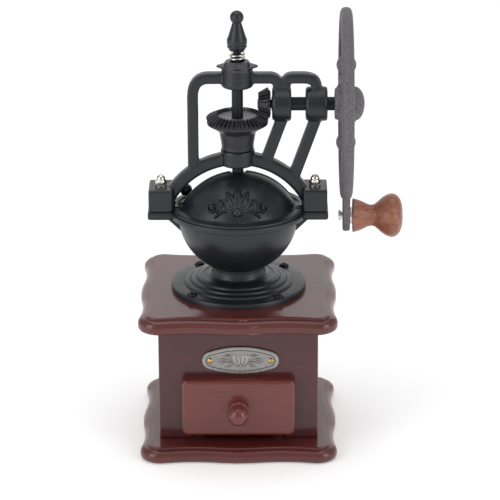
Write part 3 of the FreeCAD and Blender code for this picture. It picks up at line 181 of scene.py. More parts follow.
def flowing(points, steps=5):
    """A smooth curve through the points of a turned shape."""
    spots = [Vector(p) for p in points]
    padded = [spots[0] * 2 - spots[1]] + spots + [spots[-1] * 2 - spots[-2]]
    result = []
    for a, b, c, d in zip(padded, padded[1:], padded[2:], padded[3:]):
        for step in range(steps):
            t = step / steps
            spot = (b * 2 + (c - a) * t + (a * 2 - b * 5 + c * 4 - d) * t**2
                    + (b * 3 - a - c * 3 + d) * t**3) / 2
            result.append(tuple(spot))
    return result + [tuple(spots[-1])]


def arc_points(centre_x, centre_y, radius, start, end, steps):
    """Points on an arc between two angles in degrees."""
    angles = [math.radians(start + (end - start) * i / steps) for i in range(steps + 1)]
    return [(centre_x + radius * math.cos(a), centre_y + radius * math.sin(a)) for a in angles]


def block(target, low, high, ease=0.0, segments=3, matrix=None):
    """A block between two corners with its edges rounded over."""
    part = bmesh.new()
    bmesh.ops.create_cube(part, size=1.0)
    low, high = Vector(low), Vector(high)
    size = Matrix.Diagonal((*(high - low), 1.0))
    bmesh.ops.transform(part, matrix=Matrix.Translation((low + high) / 2) @ size, verts=part.verts)
    if ease > 0.0:
        bmesh.ops.bevel(part, geom=part.edges[:], offset=ease, segments=segments, profile=0.5,
                        affect="EDGES", material=-1, clamp_overlap=True)
    add_part(target, part, matrix)


def loft(target, rings, matrix=None, ring_again=False):
    """Join closed rings of equal count one to the next, and close the ends."""
    part = bmesh.new()
    loops = [[part.verts.new(p) for p in ring] for ring in rings]
    pairs = list(zip(loops, loops[1:]))
    if ring_again:
        pairs.append((loops[-1], loops[0]))
    for first, second in pairs:
        for index in range(len(first)):
            after = (index + 1) % len(first)
            part.faces.new((first[index], first[after], second[after], second[index]))
    if not ring_again:
        part.faces.new(loops[0])
        part.faces.new(loops[-1])
    add_part(target, part, matrix)


def bar_section(across, thick, ease):
    """A rounded rectangle as (across, thick) offsets, for a cast bar."""
    corners = [(across / 2, -thick / 2, ease), (across / 2, thick / 2, ease),
               (-across / 2, thick / 2, ease), (-across / 2, -thick / 2, ease)]
    return soften(corners, closed=True, steps=4)


def cast_bar(target, path, across, thick, ease=1.5):
    """A cast bar that follows a path of (x, z) points in the frame's own plane."""
    section = bar_section(across, thick, ease)
    spots = [Vector((x, 0, z)) for x, z in path]
    rings = []
    for index, spot in enumerate(spots):
        before = spots[max(index - 1, 0)]
        after = spots[min(index + 1, len(spots) - 1)]
        along = (after - before).normalized()
        side = Vector((along.z, 0, -along.x))
        rings.append([spot + side * a + Vector((0, t, 0)) for a, t in section])
    loft(target, rings)


def slab(target, outline, low, high, ease=0.0, matrix=None):
    """A flat outline in X and Y given a thickness in Z, with its rim rounded over."""
    part = bmesh.new()
    verts = [part.verts.new((x, y, low)) for x, y in outline]
    face = part.faces.new(verts)
    grown = bmesh.ops.extrude_face_region(part, geom=[face])
    raised = [item for item in grown["geom"] if isinstance(item, bmesh.types.BMVert)]
    bmesh.ops.translate(part, vec=(0, 0, high - low), verts=raised)
    if ease > 0.0:
        rims = [e for e in part.edges if abs(e.verts[0].co.z - e.verts[1].co.z) < 1e-6]
        bmesh.ops.bevel(part, geom=rims, offset=ease, segments=3, profile=0.5, affect="EDGES",
                        material=-1, clamp_overlap=True)
    add_part(target, part, matrix)


def finish_piece(name, bm, body, material, nodes, sharp=38.0):
    """Make a named object of a millimetre mesh and tie it to the frame."""
    bmesh.ops.transform(bm, matrix=Matrix.Scale(MM, 4), verts=bm.verts)
    mesh = bpy.data.meshes.new(name)
    bm.to_mesh(mesh)
    bm.free()
    mesh.shade_smooth()
    mesh.set_sharp_from_angle(angle=math.radians(sharp))
    mesh.materials.append(material)
    piece = bpy.data.objects.new(name, mesh)
    bpy.context.scene.collection.objects.link(piece)
    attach(piece, body)
    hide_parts(*nodes)
    return piece


def weld_as_casting(piece, voxel, passes):
    """Melt the joined shapes of a casting into one skin with soft inside corners."""
    remesh = piece.modifiers.new("one_skin", "REMESH")
    remesh.mode = "VOXEL"
    remesh.voxel_size = voxel * MM
    remesh.use_smooth_shade = True
    smooth = piece.modifiers.new("soft_corners", "SMOOTH")
    smooth.factor = 0.5
    smooth.iterations = passes


# ------------------------------------------------------------------ materials


def add_node(tree, kind, inputs=None, **settings):
    """Add one shader node with its settings, its values and its links."""
    node = tree.nodes.new(kind)
    for name, value in settings.items():
        setattr(node, name, value)
    for name, value in (inputs or {}).items():
        if isinstance(value, bpy.types.NodeSocket):
            tree.links.new(value, node.inputs[name])
        else:
            node.inputs[name].default_value = value
    return node


def new_material(name, **constants):
    """A material with one Principled shader; constants go on the shader's own sockets."""
    material = bpy.data.materials.new(name)
    material.use_nodes = True
    tree = material.node_tree
    tree.nodes.clear()
    shader = add_node(tree, "ShaderNodeBsdfPrincipled", constants)
    add_node(tree, "ShaderNodeOutputMaterial", {"Surface": shader.outputs["BSDF"]})
    return material, tree, shader


def spread(tree, feature_mm):
    """Object coordinates stretched so that a pattern of scale 1 has features of these sizes."""
    coords = add_node(tree, "ShaderNodeTexCoord")
    scale = tuple(1.0 / (size * MM) for size in feature_mm)
    return add_node(tree, "ShaderNodeMapping", {"Vector": coords.outputs["Object"], "Scale": scale},
                    vector_type="POINT").outputs["Vector"]


def noise(tree, feature_mm, detail=3.0, roughness=0.55, distortion=0.0):
    """A noise value whose features have the given sizes along X, Y and Z."""
    values = {"Vector": spread(tree, feature_mm), "Scale": 1.0, "Detail": detail,
              "Roughness": roughness, "Distortion": distortion}
    return add_node(tree, "ShaderNodeTexNoise", values).outputs["Fac"]


def band(tree, value, low, high, to_low=0.0, to_high=1.0):
    """Map a stretch of one value onto another, held at both ends."""
    values = {"Value": value, "From Min": low, "From Max": high, "To Min": to_low, "To Max": to_high}
    return add_node(tree, "ShaderNodeMapRange", values, clamp=True).outputs["Result"]


def blend_colour(tree, amount, first, second):
    mix = add_node(tree, "ShaderNodeMix", data_type="RGBA")
    for socket, value in ((mix.inputs[0], amount), (mix.inputs[6], first), (mix.inputs[7], second)):
        if isinstance(value, bpy.types.NodeSocket):
            tree.links.new(value, socket)
        else:
            socket.default_value = value
    return mix.outputs[2]


def combine(tree, operation, first, second):
    sum_node = add_node(tree, "ShaderNodeMath", operation=operation)
    for socket, value in zip(sum_node.inputs, (first, second)):
        if isinstance(value, bpy.types.NodeSocket):
            tree.links.new(value, socket)
        else:
            socket.default_value = value
    return sum_node.outputs["Value"]


def bump(tree, height, distance_mm, strength=1.0, under=None):
    values = {"Height": height, "Strength": strength, "Distance": distance_mm * MM}
    if under is not None:
        values["Normal"] = under
    return add_node(tree, "ShaderNodeBump", values).outputs["Normal"]


def along_axis(sizes, axis):
    """Put the long size of a grain on the given axis."""
    long_size, cross, other = sizes
    return {"X": (long_size, cross, other), "Y": (cross, long_size, other),
            "Z": (cross, other, long_size)}[axis]


def lacquered_mahogany(name, axis, stain, chips=()):
    """Stained mahogany under sprayed gloss lacquer: fine straight grain, barely darker than
    the stain, under a clear skin that is faintly wavy, with pale flecks where it is knocked."""
    material, tree, shader = new_material(
        name, **{"Coat Weight": 0.8, "Coat Roughness": 0.14, "Coat IOR": 1.5, "Roughness": 0.55,
                 "Specular IOR Level": 0.3})
    figure = noise(tree, along_axis((90.0, 9.0, 9.0), axis), detail=3.0, distortion=0.4)
    grain = noise(tree, along_axis((30.0, 0.8, 0.8), axis), detail=3.0)
    pores = noise(tree, along_axis((7.0, 0.3, 0.3), axis), detail=1.0)
    tone = combine(tree, "ADD", band(tree, figure, 0.3, 0.7, 0.0, 0.5),
                   band(tree, grain, 0.35, 0.65, 0.0, 0.5))
    dark = tuple(channel * 0.74 for channel in stain) + (1.0,)
    light = tuple(channel * 1.2 for channel in stain) + (1.0,)
    pore = tuple(channel * 0.5 for channel in stain) + (1.0,)
    stained = blend_colour(tree, tone, dark, light)
    stained = blend_colour(tree, band(tree, pores, 0.6, 0.75, 0.0, 0.4), stained, pore)
    for spot, reach, bare in chips:
        stained = chip(tree, stained, spot, reach, bare)
    tree.links.new(stained, shader.inputs["Base Color"])
    tree.links.new(bump(tree, grain, 0.02, 0.3), shader.inputs["Normal"])
    lacquer = noise(tree, (9.0, 9.0, 9.0), detail=1.0)
    tree.links.new(bump(tree, lacquer, 0.08, 0.3), shader.inputs["Coat Normal"])
    return material


def chip(tree, colour, spot, reach, bare):
    """A knocked place: ragged bare wood within a small box about a spot in millimetres."""
    coords = add_node(tree, "ShaderNodeTexCoord").outputs["Object"]
    moved = add_node(tree, "ShaderNodeVectorMath", {0: coords, 1: tuple(v * MM for v in spot)},
                     operation="SUBTRACT").outputs["Vector"]
    scaled = add_node(tree, "ShaderNodeVectorMath", {0: moved, 1: tuple(1.0 / (r * MM) for r in reach)},
                      operation="MULTIPLY").outputs["Vector"]
    far = add_node(tree, "ShaderNodeVectorMath", {0: scaled}, operation="LENGTH").outputs["Value"]
    ragged = noise(tree, (1.5, 1.5, 0.5), detail=4.0, roughness=0.7)
    inside = band(tree, far, 1.0, 0.5)
    mask = band(tree, combine(tree, "MULTIPLY", inside, ragged), 0.5, 0.54)
    return blend_colour(tree, mask, colour, bare)


def plain_limewood():
    """Sanded limewood with no finish: pale, dull, with fine straight grain."""
    material, tree, shader = new_material("sanded_limewood", **{"Roughness": 0.75})
    grain = noise(tree, (1.0, 30.0, 1.0), detail=3.0)
    colour = blend_colour(tree, band(tree, grain, 0.35, 0.65), linear("#b08a5e"), linear("#cdac80"))
    tree.links.new(colour, shader.inputs["Base Color"])
    tree.links.new(bump(tree, grain, 0.05, 0.5), shader.inputs["Normal"])
    return material


def varnished_beech():
    """Turned beech under orange varnish: warm brown, small dark flecks, soft gloss."""
    material, tree, shader = new_material(
        "varnished_beech", **{"Coat Weight": 0.6, "Coat Roughness": 0.3, "Roughness": 0.6})
    figure = noise(tree, (22.0, 3.0, 3.0), detail=4.0, distortion=0.8)
    fleck = noise(tree, (3.2, 0.45, 0.45), detail=1.0)
    colour = blend_colour(tree, band(tree, figure, 0.3, 0.7), linear("#743b27"), linear("#9a5b40"))
    colour = blend_colour(tree, band(tree, fleck, 0.6, 0.74, 0.0, 0.3), colour, linear("#4f281d"))
    tree.links.new(colour, shader.inputs["Base Color"])
    tree.links.new(bump(tree, figure, 0.06, 0.3), shader.inputs["Normal"])
    return material


def satin_enamel():
    """Stoved satin enamel on sand castings: blue-black, soft sheen, faint orange peel."""
    settings = iron_settings()
    material, tree, shader = new_material("satin_enamel_on_iron", **{"Specular IOR Level": 0.5})
    patches = noise(tree, (14.0, 14.0, 14.0), detail=3.0)
    peel = noise(tree, (1.3, 1.3, 1.3), detail=2.0)
    base = tuple(settings.enamel) + (1.0,)
    colour = blend_colour(tree, band(tree, patches, 0.3, 0.7), base, linear("#1b1e24"))
    tree.links.new(colour, shader.inputs["Base Color"])
    tree.links.new(band(tree, patches, 0.3, 0.7, 0.31, 0.4), shader.inputs["Roughness"])
    tree.links.new(bump(tree, peel, 0.05, 0.35), shader.inputs["Normal"])
    return material


def rough_cast_iron():
    """Unground cast iron under thin grey-black paint: gritty, dull, with lighter high spots."""
    material, tree, shader = new_material("rough_cast_iron", **{"Specular IOR Level": 0.4})
    grit = noise(tree, (0.55, 0.55, 0.55), detail=4.0, roughness=0.6)
    lumps = noise(tree, (4.5, 4.5, 4.5), detail=2.0)
    colour = blend_colour(tree, band(tree, grit, 0.36, 0.68), linear("#413f42"), linear("#7b787b"))
    tree.links.new(colour, shader.inputs["Base Color"])
    tree.links.new(band(tree, grit, 0.3, 0.7, 0.7, 0.52), shader.inputs["Roughness"])
    rough = bump(tree, lumps, 0.25, 0.5)
    tree.links.new(bump(tree, grit, 0.2, 0.9, under=rough), shader.inputs["Normal"])
    return material


def blackened_gear_iron():
    """Oiled black iron gears: dark and smooth, mottled at random, with a painted highlight in light grey on
    the flat faces that point upwards.
    """
    material, tree, shader = new_material(
        "blackened_gear_iron", **{"Metallic": 0.25, "Specular IOR Level": 0.5})
    rub = noise(tree, (5.0, 5.0, 2.0), detail=2.0)
    # painted highlight: faces whose normal points nearly straight up are blended towards light grey #8a868c
    face = add_node(tree, "ShaderNodeSeparateXYZ",
                    {"Vector": add_node(tree, "ShaderNodeNewGeometry").outputs["True Normal"]}).outputs["Z"]
    colour = blend_colour(tree, band(tree, rub, 0.3, 0.7), linear("#232326"), linear("#303034"))
    colour = blend_colour(tree, band(tree, face, 0.93, 0.99, 0.0, 0.8), colour, linear("#8a868c"))
    tree.links.new(colour, shader.inputs["Base Color"])
    tree.links.new(band(tree, rub, 0.3, 0.7, 0.44, 0.36), shader.inputs["Roughness"])
    tree.links.new(bump(tree, rub, 0.03, 0.3), shader.inputs["Normal"])
    return material


def dark_turned_steel():
    """Blackened bar stock: dark, dull metal with fine scale marks."""
    material, tree, shader = new_material("blackened_steel", **{"Metallic": 0.6})
    scale = noise(tree, (0.9, 0.9, 0.9), detail=4.0)
    colour = blend_colour(tree, band(tree, scale, 0.4, 0.7), linear("#222327"), linear("#34353a"))
    tree.links.new(colour, shader.inputs["Base Color"])
    tree.links.new(band(tree, scale, 0.3, 0.7, 0.4, 0.56), shader.inputs["Roughness"])
    tree.links.new(bump(tree, scale, 0.03, 0.3), shader.inputs["Normal"])
    return material


def stamped_sheet_steel():
    """Stamped sheet with a dark dip: grey metal with faint lighter and darker streaks."""
    material, tree, shader = new_material("stamped_sheet_steel", **{"Metallic": 0.75})
    smear = noise(tree, (5.0, 0.6, 5.0), detail=3.0)
    colour = blend_colour(tree, band(tree, smear, 0.35, 0.65), linear("#414044"), linear("#57565a"))
    tree.links.new(colour, shader.inputs["Base Color"])
    tree.links.new(band(tree, smear, 0.3, 0.7, 0.3, 0.45), shader.inputs["Roughness"])
    tree.links.new(bump(tree, smear, 0.03, 0.4), shader.inputs["Normal"])
    return material


def polished_nickel():
    """Bright nickel plate: mirror-like, slightly warm, with faint handling marks."""
    material, tree, shader = new_material("nickel_plate", **{"Metallic": 1.0})
    haze = noise(tree, (2.2, 2.2, 2.2), detail=3.0)
    colour = blend_colour(tree, band(tree, haze, 0.3, 0.7), linear("#c9c3ba"), linear("#e2ded8"))
    tree.links.new(colour, shader.inputs["Base Color"])
    tree.links.new(band(tree, haze, 0.3, 0.7, 0.1, 0.22), shader.inputs["Roughness"])
    return material


def black_oxide_screw():
    """Black oxide on steel screws: near-black with a soft oily shine."""
    material, tree, shader = new_material("black_oxide", **{"Metallic": 0.5})
    oil = noise(tree, (1.2, 1.2, 1.2), detail=2.0)
    colour = blend_colour(tree, band(tree, oil, 0.3, 0.7), linear("#17181b"), linear("#2a2b2f"))
    tree.links.new(colour, shader.inputs["Base Color"])
    tree.links.new(band(tree, oil, 0.3, 0.7, 0.28, 0.42), shader.inputs["Roughness"])
    return material


def cast_pewter():
    """Pewter casting rubbed bright: soft grey metal, with painted shade darkening its sunken floor."""
    material, tree, shader = new_material("cast_pewter", **{"Metallic": 1.0})
    mottle = noise(tree, (1.8, 1.8, 1.8), detail=4.0)
    depth = add_node(tree, "ShaderNodeSeparateXYZ",
                     {"Vector": add_node(tree, "ShaderNodeTexCoord").outputs["Object"]}).outputs["Y"]
    front = box_mm("nameplate")[0].y * MM
    # painted shade: parts set 0.1 to 0.55 mm or more back from the plate's front face are blended towards the
    # darker #6f6d6c
    raised = band(tree, depth, front + 0.55 * MM, front + 0.1 * MM)
    colour = blend_colour(tree, band(tree, mottle, 0.3, 0.7), linear("#8d8b89"), linear("#aaa8a5"))
    colour = blend_colour(tree, raised, linear("#6f6d6c"), colour)
    tree.links.new(colour, shader.inputs["Base Color"])
    tree.links.new(band(tree, mottle, 0.3, 0.7, 0.3, 0.45), shader.inputs["Roughness"])
    tree.links.new(bump(tree, mottle, 0.06, 0.4), shader.inputs["Normal"])
    return material


def brass_nail():
    """Domed brass nails: warm yellow metal, a little tarnished."""
    material, tree, shader = new_material("tarnished_brass", **{"Metallic": 1.0})
    stain = noise(tree, (1.0, 1.0, 1.0), detail=2.0)
    colour = blend_colour(tree, band(tree, stain, 0.35, 0.65), linear("#a87b3c"), linear("#d8b06a"))
    tree.links.new(colour, shader.inputs["Base Color"])
    tree.links.new(band(tree, stain, 0.3, 0.7, 0.2, 0.34), shader.inputs["Roughness"])
    return material


def sintered_bronze():
    """Sintered bronze bush: porous, dull brown-gold."""
    material, tree, shader = new_material("sintered_bronze", **{"Metallic": 1.0})
    pores = noise(tree, (0.5, 0.5, 0.5), detail=2.0)
    colour = blend_colour(tree, band(tree, pores, 0.45, 0.65), linear("#6b4a2a"), linear("#9b7444"))
    tree.links.new(colour, shader.inputs["Base Color"])
    tree.links.new(band(tree, pores, 0.3, 0.7, 0.55, 0.4), shader.inputs["Roughness"])
    return material


def ground_burr_steel():
    """Milled and hardened burrs: mid-grey steel with cutter marks."""
    material, tree, shader = new_material("milled_burr_steel", **{"Metallic": 1.0})
    marks = noise(tree, (4.0, 4.0, 0.4), detail=2.0)
    colour = blend_colour(tree, band(tree, marks, 0.35, 0.65), linear("#77777a"), linear("#9b9b9c"))
    tree.links.new(colour, shader.inputs["Base Color"])
    tree.links.new(band(tree, marks, 0.3, 0.7, 0.3, 0.46), shader.inputs["Roughness"])
    tree.links.new(bump(tree, marks, 0.03, 0.5), shader.inputs["Normal"])
    return material


def black_moulded_knob():
    """Moulded phenolic knob: deep black with a soft polished shine."""
    material, tree, shader = new_material("moulded_phenolic", **{"Specular IOR Level": 0.5})
    cloud = noise(tree, (3.0, 3.0, 3.0), detail=2.0)
    colour = blend_colour(tree, band(tree, cloud, 0.3, 0.7), linear("#0e0e10"), linear("#17171a"))
    tree.links.new(colour, shader.inputs["Base Color"])
    tree.links.new(band(tree, cloud, 0.3, 0.7, 0.18, 0.28), shader.inputs["Roughness"])
    return material


FINISHES = {}


def make_finishes():
    """Every finish of the mill, under the name of the record's material slot."""
    settings = wood_settings()
    low, high = box_mm("top_plate")
    pale, dusty = linear("#b98d7a"), linear("#7d4a3f")
    knocks = (((3.0, low.y + 4.3, high.z - 1.2), (6.0, 0.9, 0.8), pale),
              ((9.0, low.y + 2.0, low.z + 1.2), (8.0, 3.0, 0.8), pale),
              ((10.0, low.y + 0.6, low.z + 6.0), (6.0, 2.0, 1.6), dusty))
    foot_low, foot_high = box_mm("base_plate")
    scratch = ((30.0, foot_low.y + 5.5, foot_high.z), (5.5, 0.9, 1.2), dusty)
    panel, board, front = settings.panel_stain, settings.board_stain, settings.front_stain
    FINISHES.update(
        mahogany_wood=lacquered_mahogany("lacquered_mahogany_panel", "X", panel),
        mahogany_side=lacquered_mahogany("lacquered_mahogany_side", "Y", panel),
        mahogany_front=lacquered_mahogany("lacquered_mahogany_drawer", "X", front),
        mahogany_top=lacquered_mahogany("lacquered_mahogany_top_board", "X", board, knocks),
        mahogany_foot=lacquered_mahogany("lacquered_mahogany_foot_board", "X", board, (scratch,)),
        plain_wood=plain_limewood(),
        grip_wood=varnished_beech(),
        enamelled_iron=satin_enamel(),
        wheel_iron=rough_cast_iron(),
        gear_iron=blackened_gear_iron(),
        dark_steel=dark_turned_steel(),
        sheet_steel=stamped_sheet_steel(),
        nickel=polished_nickel(),
        black_screw=black_oxide_screw(),
        pewter=cast_pewter(),
        brass=brass_nail(),
        bronze=sintered_bronze(),
        burr_steel=ground_burr_steel(),
        black_plastic=black_moulded_knob(),
    )


class MILL_OT_frame_finishes(bpy.types.Operator):
    """Give every carried-over CAD piece its procedural finish"""
    bl_idname = "mill.frame_finishes"
    bl_label = "Frame Finishes"

    def execute(self, context):
        make_finishes()
        slots = {part["node"]: part["material_slot"] for part in frame["record"]["subparts"]}
        for name, node in frame["nodes"].items():
            finish = FINISHES[slots[name]]
            if name in ("left_panel", "right_panel"):
                finish = FINISHES["mahogany_side"]
            node.data.materials.clear()
            node.data.materials.append(finish)
        return {"FINISHED"}


# ------------------------------------------------------------------ wooden box


def board_outline(half, inset, steps=14):
    """The serpentine edge: a bulge mid-side, a hollow each side of it, a round corner."""
    wave, hollow_place, bulge = 2.0, half * 0.4515, half * 1.532
    hollow = (hollow_place**2 + wave**2) / (2 * wave) - bulge
    hollow_x = half - wave + hollow
    across, along = hollow_x - half, hollow_place - half
    linear_term = across + along - hollow
    root = math.sqrt(linear_term**2 - (across**2 + along**2 - hollow**2))
    corner = -linear_term - root
    if corner <= 0:
        corner = -linear_term + root
    bulge_centre = Vector((half - bulge, 0))
    hollow_centre = Vector((hollow_x, hollow_place))
    corner_centre = Vector((half - corner, half - corner))
    joint = bulge_centre + (hollow_centre - bulge_centre).normalized() * bulge
    second = hollow_centre + (corner_centre - hollow_centre).normalized() * hollow

    def sampled(centre, radius, start, end):
        first = math.atan2(*(start - centre).yx)
        turn = math.atan2(*(end - centre).yx) - first
        turn = (turn + math.pi) % math.tau - math.pi
        angles = [first + turn * i / steps for i in range(steps)]
        return [centre + Vector((math.cos(a), math.sin(a))) * radius for a in angles]

    def swap(point):
        return Vector((point.y, point.x))

    quarter = sampled(bulge_centre, bulge - inset, Vector((joint.x, -joint.y)), joint)
    quarter += sampled(hollow_centre, hollow + inset, joint, second)
    quarter += sampled(corner_centre, corner - inset, second, swap(second))
    quarter += sampled(swap(hollow_centre), hollow + inset, swap(second), swap(joint))
    points = []
    for turn in range(4):
        spin = Matrix.Rotation(math.pi / 2 * turn, 2)
        points += [spin @ p for p in quarter]
    return points


def moulded_board(node, hole_radius, material):
    """A board with a round lower edge, an ovolo upper edge and a small step on top."""
    low, high = box_mm(node)
    half = (high.x - low.x) / 2
    step_inset = wood_settings().step_inset
    step, lower_round, ovolo = 1.1, 2.8, 4.2
    shoulder = high.z - step
    profile = [(lower_round, low.z), (1.9, low.z + 0.15)]
    profile += [(lower_round * (1 - math.sin(a)), low.z + lower_round * (1 - math.cos(a)))
                for a in (math.radians(d) for d in (45, 62, 78, 90))]
    profile += [(ovolo * (1 - math.cos(a)), shoulder - ovolo * (1 - math.sin(a)))
                for a in (math.radians(d) for d in (0, 12, 24, 36, 48, 60, 72, 82, 90))]
    profile += [(step_inset - 0.12, shoulder + 0.02), (step_inset, shoulder + 0.14),
                (step_inset, high.z - 0.4), (step_inset + 0.12, high.z - 0.12),
                (step_inset + 0.4, high.z), (step_inset + 2.0, high.z)]
    rings = [[Vector((p.x, p.y, z)) for p in board_outline(half, inset)] for inset, z in profile]
    bm = bmesh.new()
    innermost = max(hole_radius, 4.0)
    middle = [[Vector((*(p.normalized() * innermost), height)) for p in board_outline(half, step_inset)]
              for height in (high.z, low.z)]
    if hole_radius > 0.0:
        loft(bm, rings + middle, ring_again=True)
    else:
        loft(bm, [middle[1]] + rings + [middle[0]])
    finish_piece(node.replace("plate", "board"), bm, "frame", material, [node], 30.0)


class MILL_OT_boards(bpy.types.Operator):
    """Model the two moulded boards"""
    bl_idname = "mill.boards"
    bl_label = "Boards"

    def execute(self, context):
        moulded_board("base_plate", 0.0, FINISHES["mahogany_foot"])
        moulded_board("top_plate", 25.2, FINISHES["mahogany_top"])
        return {"FINISHED"}


class MILL_OT_drawer(bpy.types.Operator):
    """Model the drawer's front and its turned knob"""
    bl_idname = "mill.drawer"
    bl_label = "Drawer Front and Knob"

    def execute(self, context):
        low, high = box_mm("drawer_front")
        bm = bmesh.new()
        part = bmesh.new()
        bmesh.ops.create_cube(part, size=1.0)
        size = Matrix.Diagonal((*(high - low), 1.0))
        bmesh.ops.transform(part, matrix=Matrix.Translation((low + high) / 2) @ size, verts=part.verts)
        upright = [e for e in part.edges if abs(e.verts[0].co.y - e.verts[1].co.y) > 1.0]
        bmesh.ops.bevel(part, geom=upright, offset=3.4, segments=8, profile=0.5, affect="EDGES",
                        material=-1, clamp_overlap=True)
        front = [e for e in part.edges if all(v.co.y < low.y + 0.01 for v in e.verts)]
        bmesh.ops.bevel(part, geom=front, offset=2.6, segments=7, profile=0.5, affect="EDGES",
                        material=-1, clamp_overlap=True)
        add_part(bm, part)
        finish_piece("drawer_face", bm, "drawer", FINISHES["mahogany_front"],
                     ["drawer_front"], 30.0)

        low, high = box_mm("drawer_knob")
        centre = (low + high) / 2
        ball, foot = 6.4, 6.0
        length = high.y - low.y
        middle = length - ball
        neck = soften([(0.0, 0.0), (foot, 0.0, 0.4), (foot - 0.2, 1.0, 0.6), (4.4, 2.4, 1.2),
                       (3.5, 4.2, 1.0)])
        profile = neck + arc_points(0.0, middle, ball, -44, 90, 26)
        bm = bmesh.new()
        lathe(bm, profile, 96, (centre.x, high.y, centre.z), (0, -1, 0))
        finish_piece("drawer_pull", bm, "drawer", FINISHES["mahogany_front"],
                     ["drawer_knob"], 40.0)
        return {"FINISHED"}


def plate_outline(half_wide, half_tall, end, steps=22):
    """A flattened oval of two long arcs and two tight end arcs."""
    reach = half_wide - end
    long_radius = (reach**2 + half_tall**2 - end**2) / (2 * (half_tall - end))
    top_centre = Vector((0, half_tall - long_radius))
    joint = top_centre + (Vector((reach, 0)) - top_centre).normalized() * long_radius
    end_angle = math.degrees(math.atan2(joint.y, joint.x - reach))
    long_angle = math.degrees(math.atan2(joint.y - top_centre.y, joint.x))
    points = arc_points(reach, 0, end, -end_angle, end_angle, 10)[:-1]
    points += arc_points(0, top_centre.y, long_radius, long_angle, 180 - long_angle, steps)[:-1]
    points += arc_points(-reach, 0, end, 180 - end_angle, 180 + end_angle, 10)[:-1]
    points += arc_points(0, -top_centre.y, long_radius, 180 + long_angle, 360 - long_angle, steps)[:-1]
    return points


def cushion(target, centre, half_sizes, lean, groove=0.0, point=0.0):
    """A low pillow form on the plate: a bean with its groove, or a pointed leaf."""
    part = bmesh.new()
    bmesh.ops.create_uvsphere(part, u_segments=28, v_segments=16, radius=1.0)
    for vert in part.verts:
        x, y, z = vert.co
        narrow = 1.0 - point * abs(x)**2.2
        dip = 1.0 - groove * math.exp(-(y / 0.16)**2)
        vert.co = Vector((x * half_sizes[0], y * half_sizes[1] * narrow, z * half_sizes[2] * dip))
    matrix = Matrix.Translation(centre) @ Matrix.Rotation(math.radians(90), 4, "X")
    matrix = matrix @ Matrix.Rotation(math.radians(lean), 4, "Z")
    add_part(target, part, matrix)


class MILL_OT_nameplate(bpy.types.Operator):
    """Model the cast plate with its beaded border and a sprig of beans and leaves"""
    bl_idname = "mill.nameplate"
    bl_label = "Name Plate"

    def execute(self, context):
        low, high = box_mm("nameplate")
        middle = (low + high) / 2
        half_wide, half_tall = (high.x - low.x) / 2, (high.z - low.z) / 2
        thick = high.y - low.y
        floor = thick - 0.2
        profile = [(0.0, 0.0), (0.0, thick - 0.35), (0.1, thick - 0.12), (0.35, thick), (2.0, thick),
                   (2.15, thick - 0.45), (2.45, thick - 0.5), (2.65, floor), (4.6, floor)]
        rings = []
        for inset, height in profile:
            outline = plate_outline(half_wide - inset, half_tall - inset, 6.0 - inset)
            rings.append([Vector((middle.x + x, high.y - height, middle.z + z)) for x, z in outline])
        bm = bmesh.new()
        loft(bm, rings)
        face = high.y - floor
        for side in (-1, 1):
            for away, rise, lean, length in ((7.0, 2.2, 20, 3.9), (7.2, -2.2, -20, 3.9), (10.9, 0.0, 0, 3.4)):
                spot = (middle.x + side * away, face, middle.z + rise)
                cushion(bm, spot, (length, 1.75, 0.75), side * lean, 0.5, 0.75)
            spot = (middle.x + side * 2.5, face, middle.z + 0.1)
            cushion(bm, spot, (4.1, 2.3, 0.8), 90 - side * 16, 0.75)
        finish_piece("cast_plate", bm, "frame", FINISHES["pewter"], ["nameplate"])
        return {"FINISHED"}


# ------------------------------------------------------------------ iron castings


class MILL_OT_bowl(bpy.types.Operator):
    """Model the cast bowl with its stepped flange, rim and ears"""
    bl_idname = "mill.bowl"
    bl_label = "Bowl"

    def execute(self, context):
        low, high = box_mm("hopper_bowl")
        flange, lip, neck, bore, foot_bore = 41.0, 41.6, 16.2, 12.6, 19.0
        outer, inner, middle = 36.4, 33.2, high.z - 4.0
        top = low.z + 3.3
        profile = [(foot_bore, low.z), (flange, low.z), (flange, top - 0.8), (flange - 0.24, top - 0.24),
                   (flange - 0.8, top), (33.4, top)]
        height = top
        for radius in (29.3, 25.4, 21.5):
            profile += soften([(radius + 3.9, height), (radius + 3.4, height + 1.1, 0.7),
                               (radius + 0.5, height + 1.75, 0.5), (radius, height + 1.45)], steps=5)[1:]
            height += 1.45
        joint = middle - math.sqrt(outer**2 - neck**2)
        start = math.degrees(math.atan2(joint - middle, neck))
        profile += soften([(21.2, height), (neck + 0.6, height + 0.9, 2.4),
                           (neck, height + 5.0)], steps=8)[1:]
        profile.append((neck, joint - 2.0))
        profile += arc_points(0.0, middle, outer, start, 0, 44)
        ledge = high.z - 3.6
        profile += soften([(outer, middle), (lip - 0.2, ledge, 0.5), (lip, ledge + 1.4, 0.6),
                           (lip, high.z, 0.6), (38.3, high.z, 0.2), (38.2, high.z - 1.0, 0.1),
                           (35.0, high.z - 1.0, 0.3), (inner, middle)], steps=4)[1:]
        end = -math.degrees(math.acos(bore / inner))
        profile += arc_points(0.0, middle, inner, 0, end, 36)[1:]
        profile += [(bore, low.z + 7.2), (foot_bore, low.z + 5.2)]
        bm = bmesh.new()
        lathe(bm, profile, 176, closed=True)
        ear_start, ear_half, ear_thick = 36.8, 11.6, 4.7
        for side in (-1, 1):
            near, far = sorted((side * ear_start, side * high.x))
            block(bm, (near, -ear_half, high.z - ear_thick), (far, ear_half, high.z), 1.3, 4)
            web = [(side * 33.6, high.z - 16.0), (side * 45.5, high.z - 4.4), (side * 36.0, high.z - 4.4)]
            upright = Matrix.Translation((0, 3.0, 0)) @ Matrix.Rotation(math.radians(90), 4, "X")
            slab(bm, web, 0.0, 6.0, 0.8, upright)
        finish_piece("cast_bowl", bm, "frame", FINISHES["enamelled_iron"],
                     ["hopper_bowl"], 42.0)
        return {"FINISHED"}


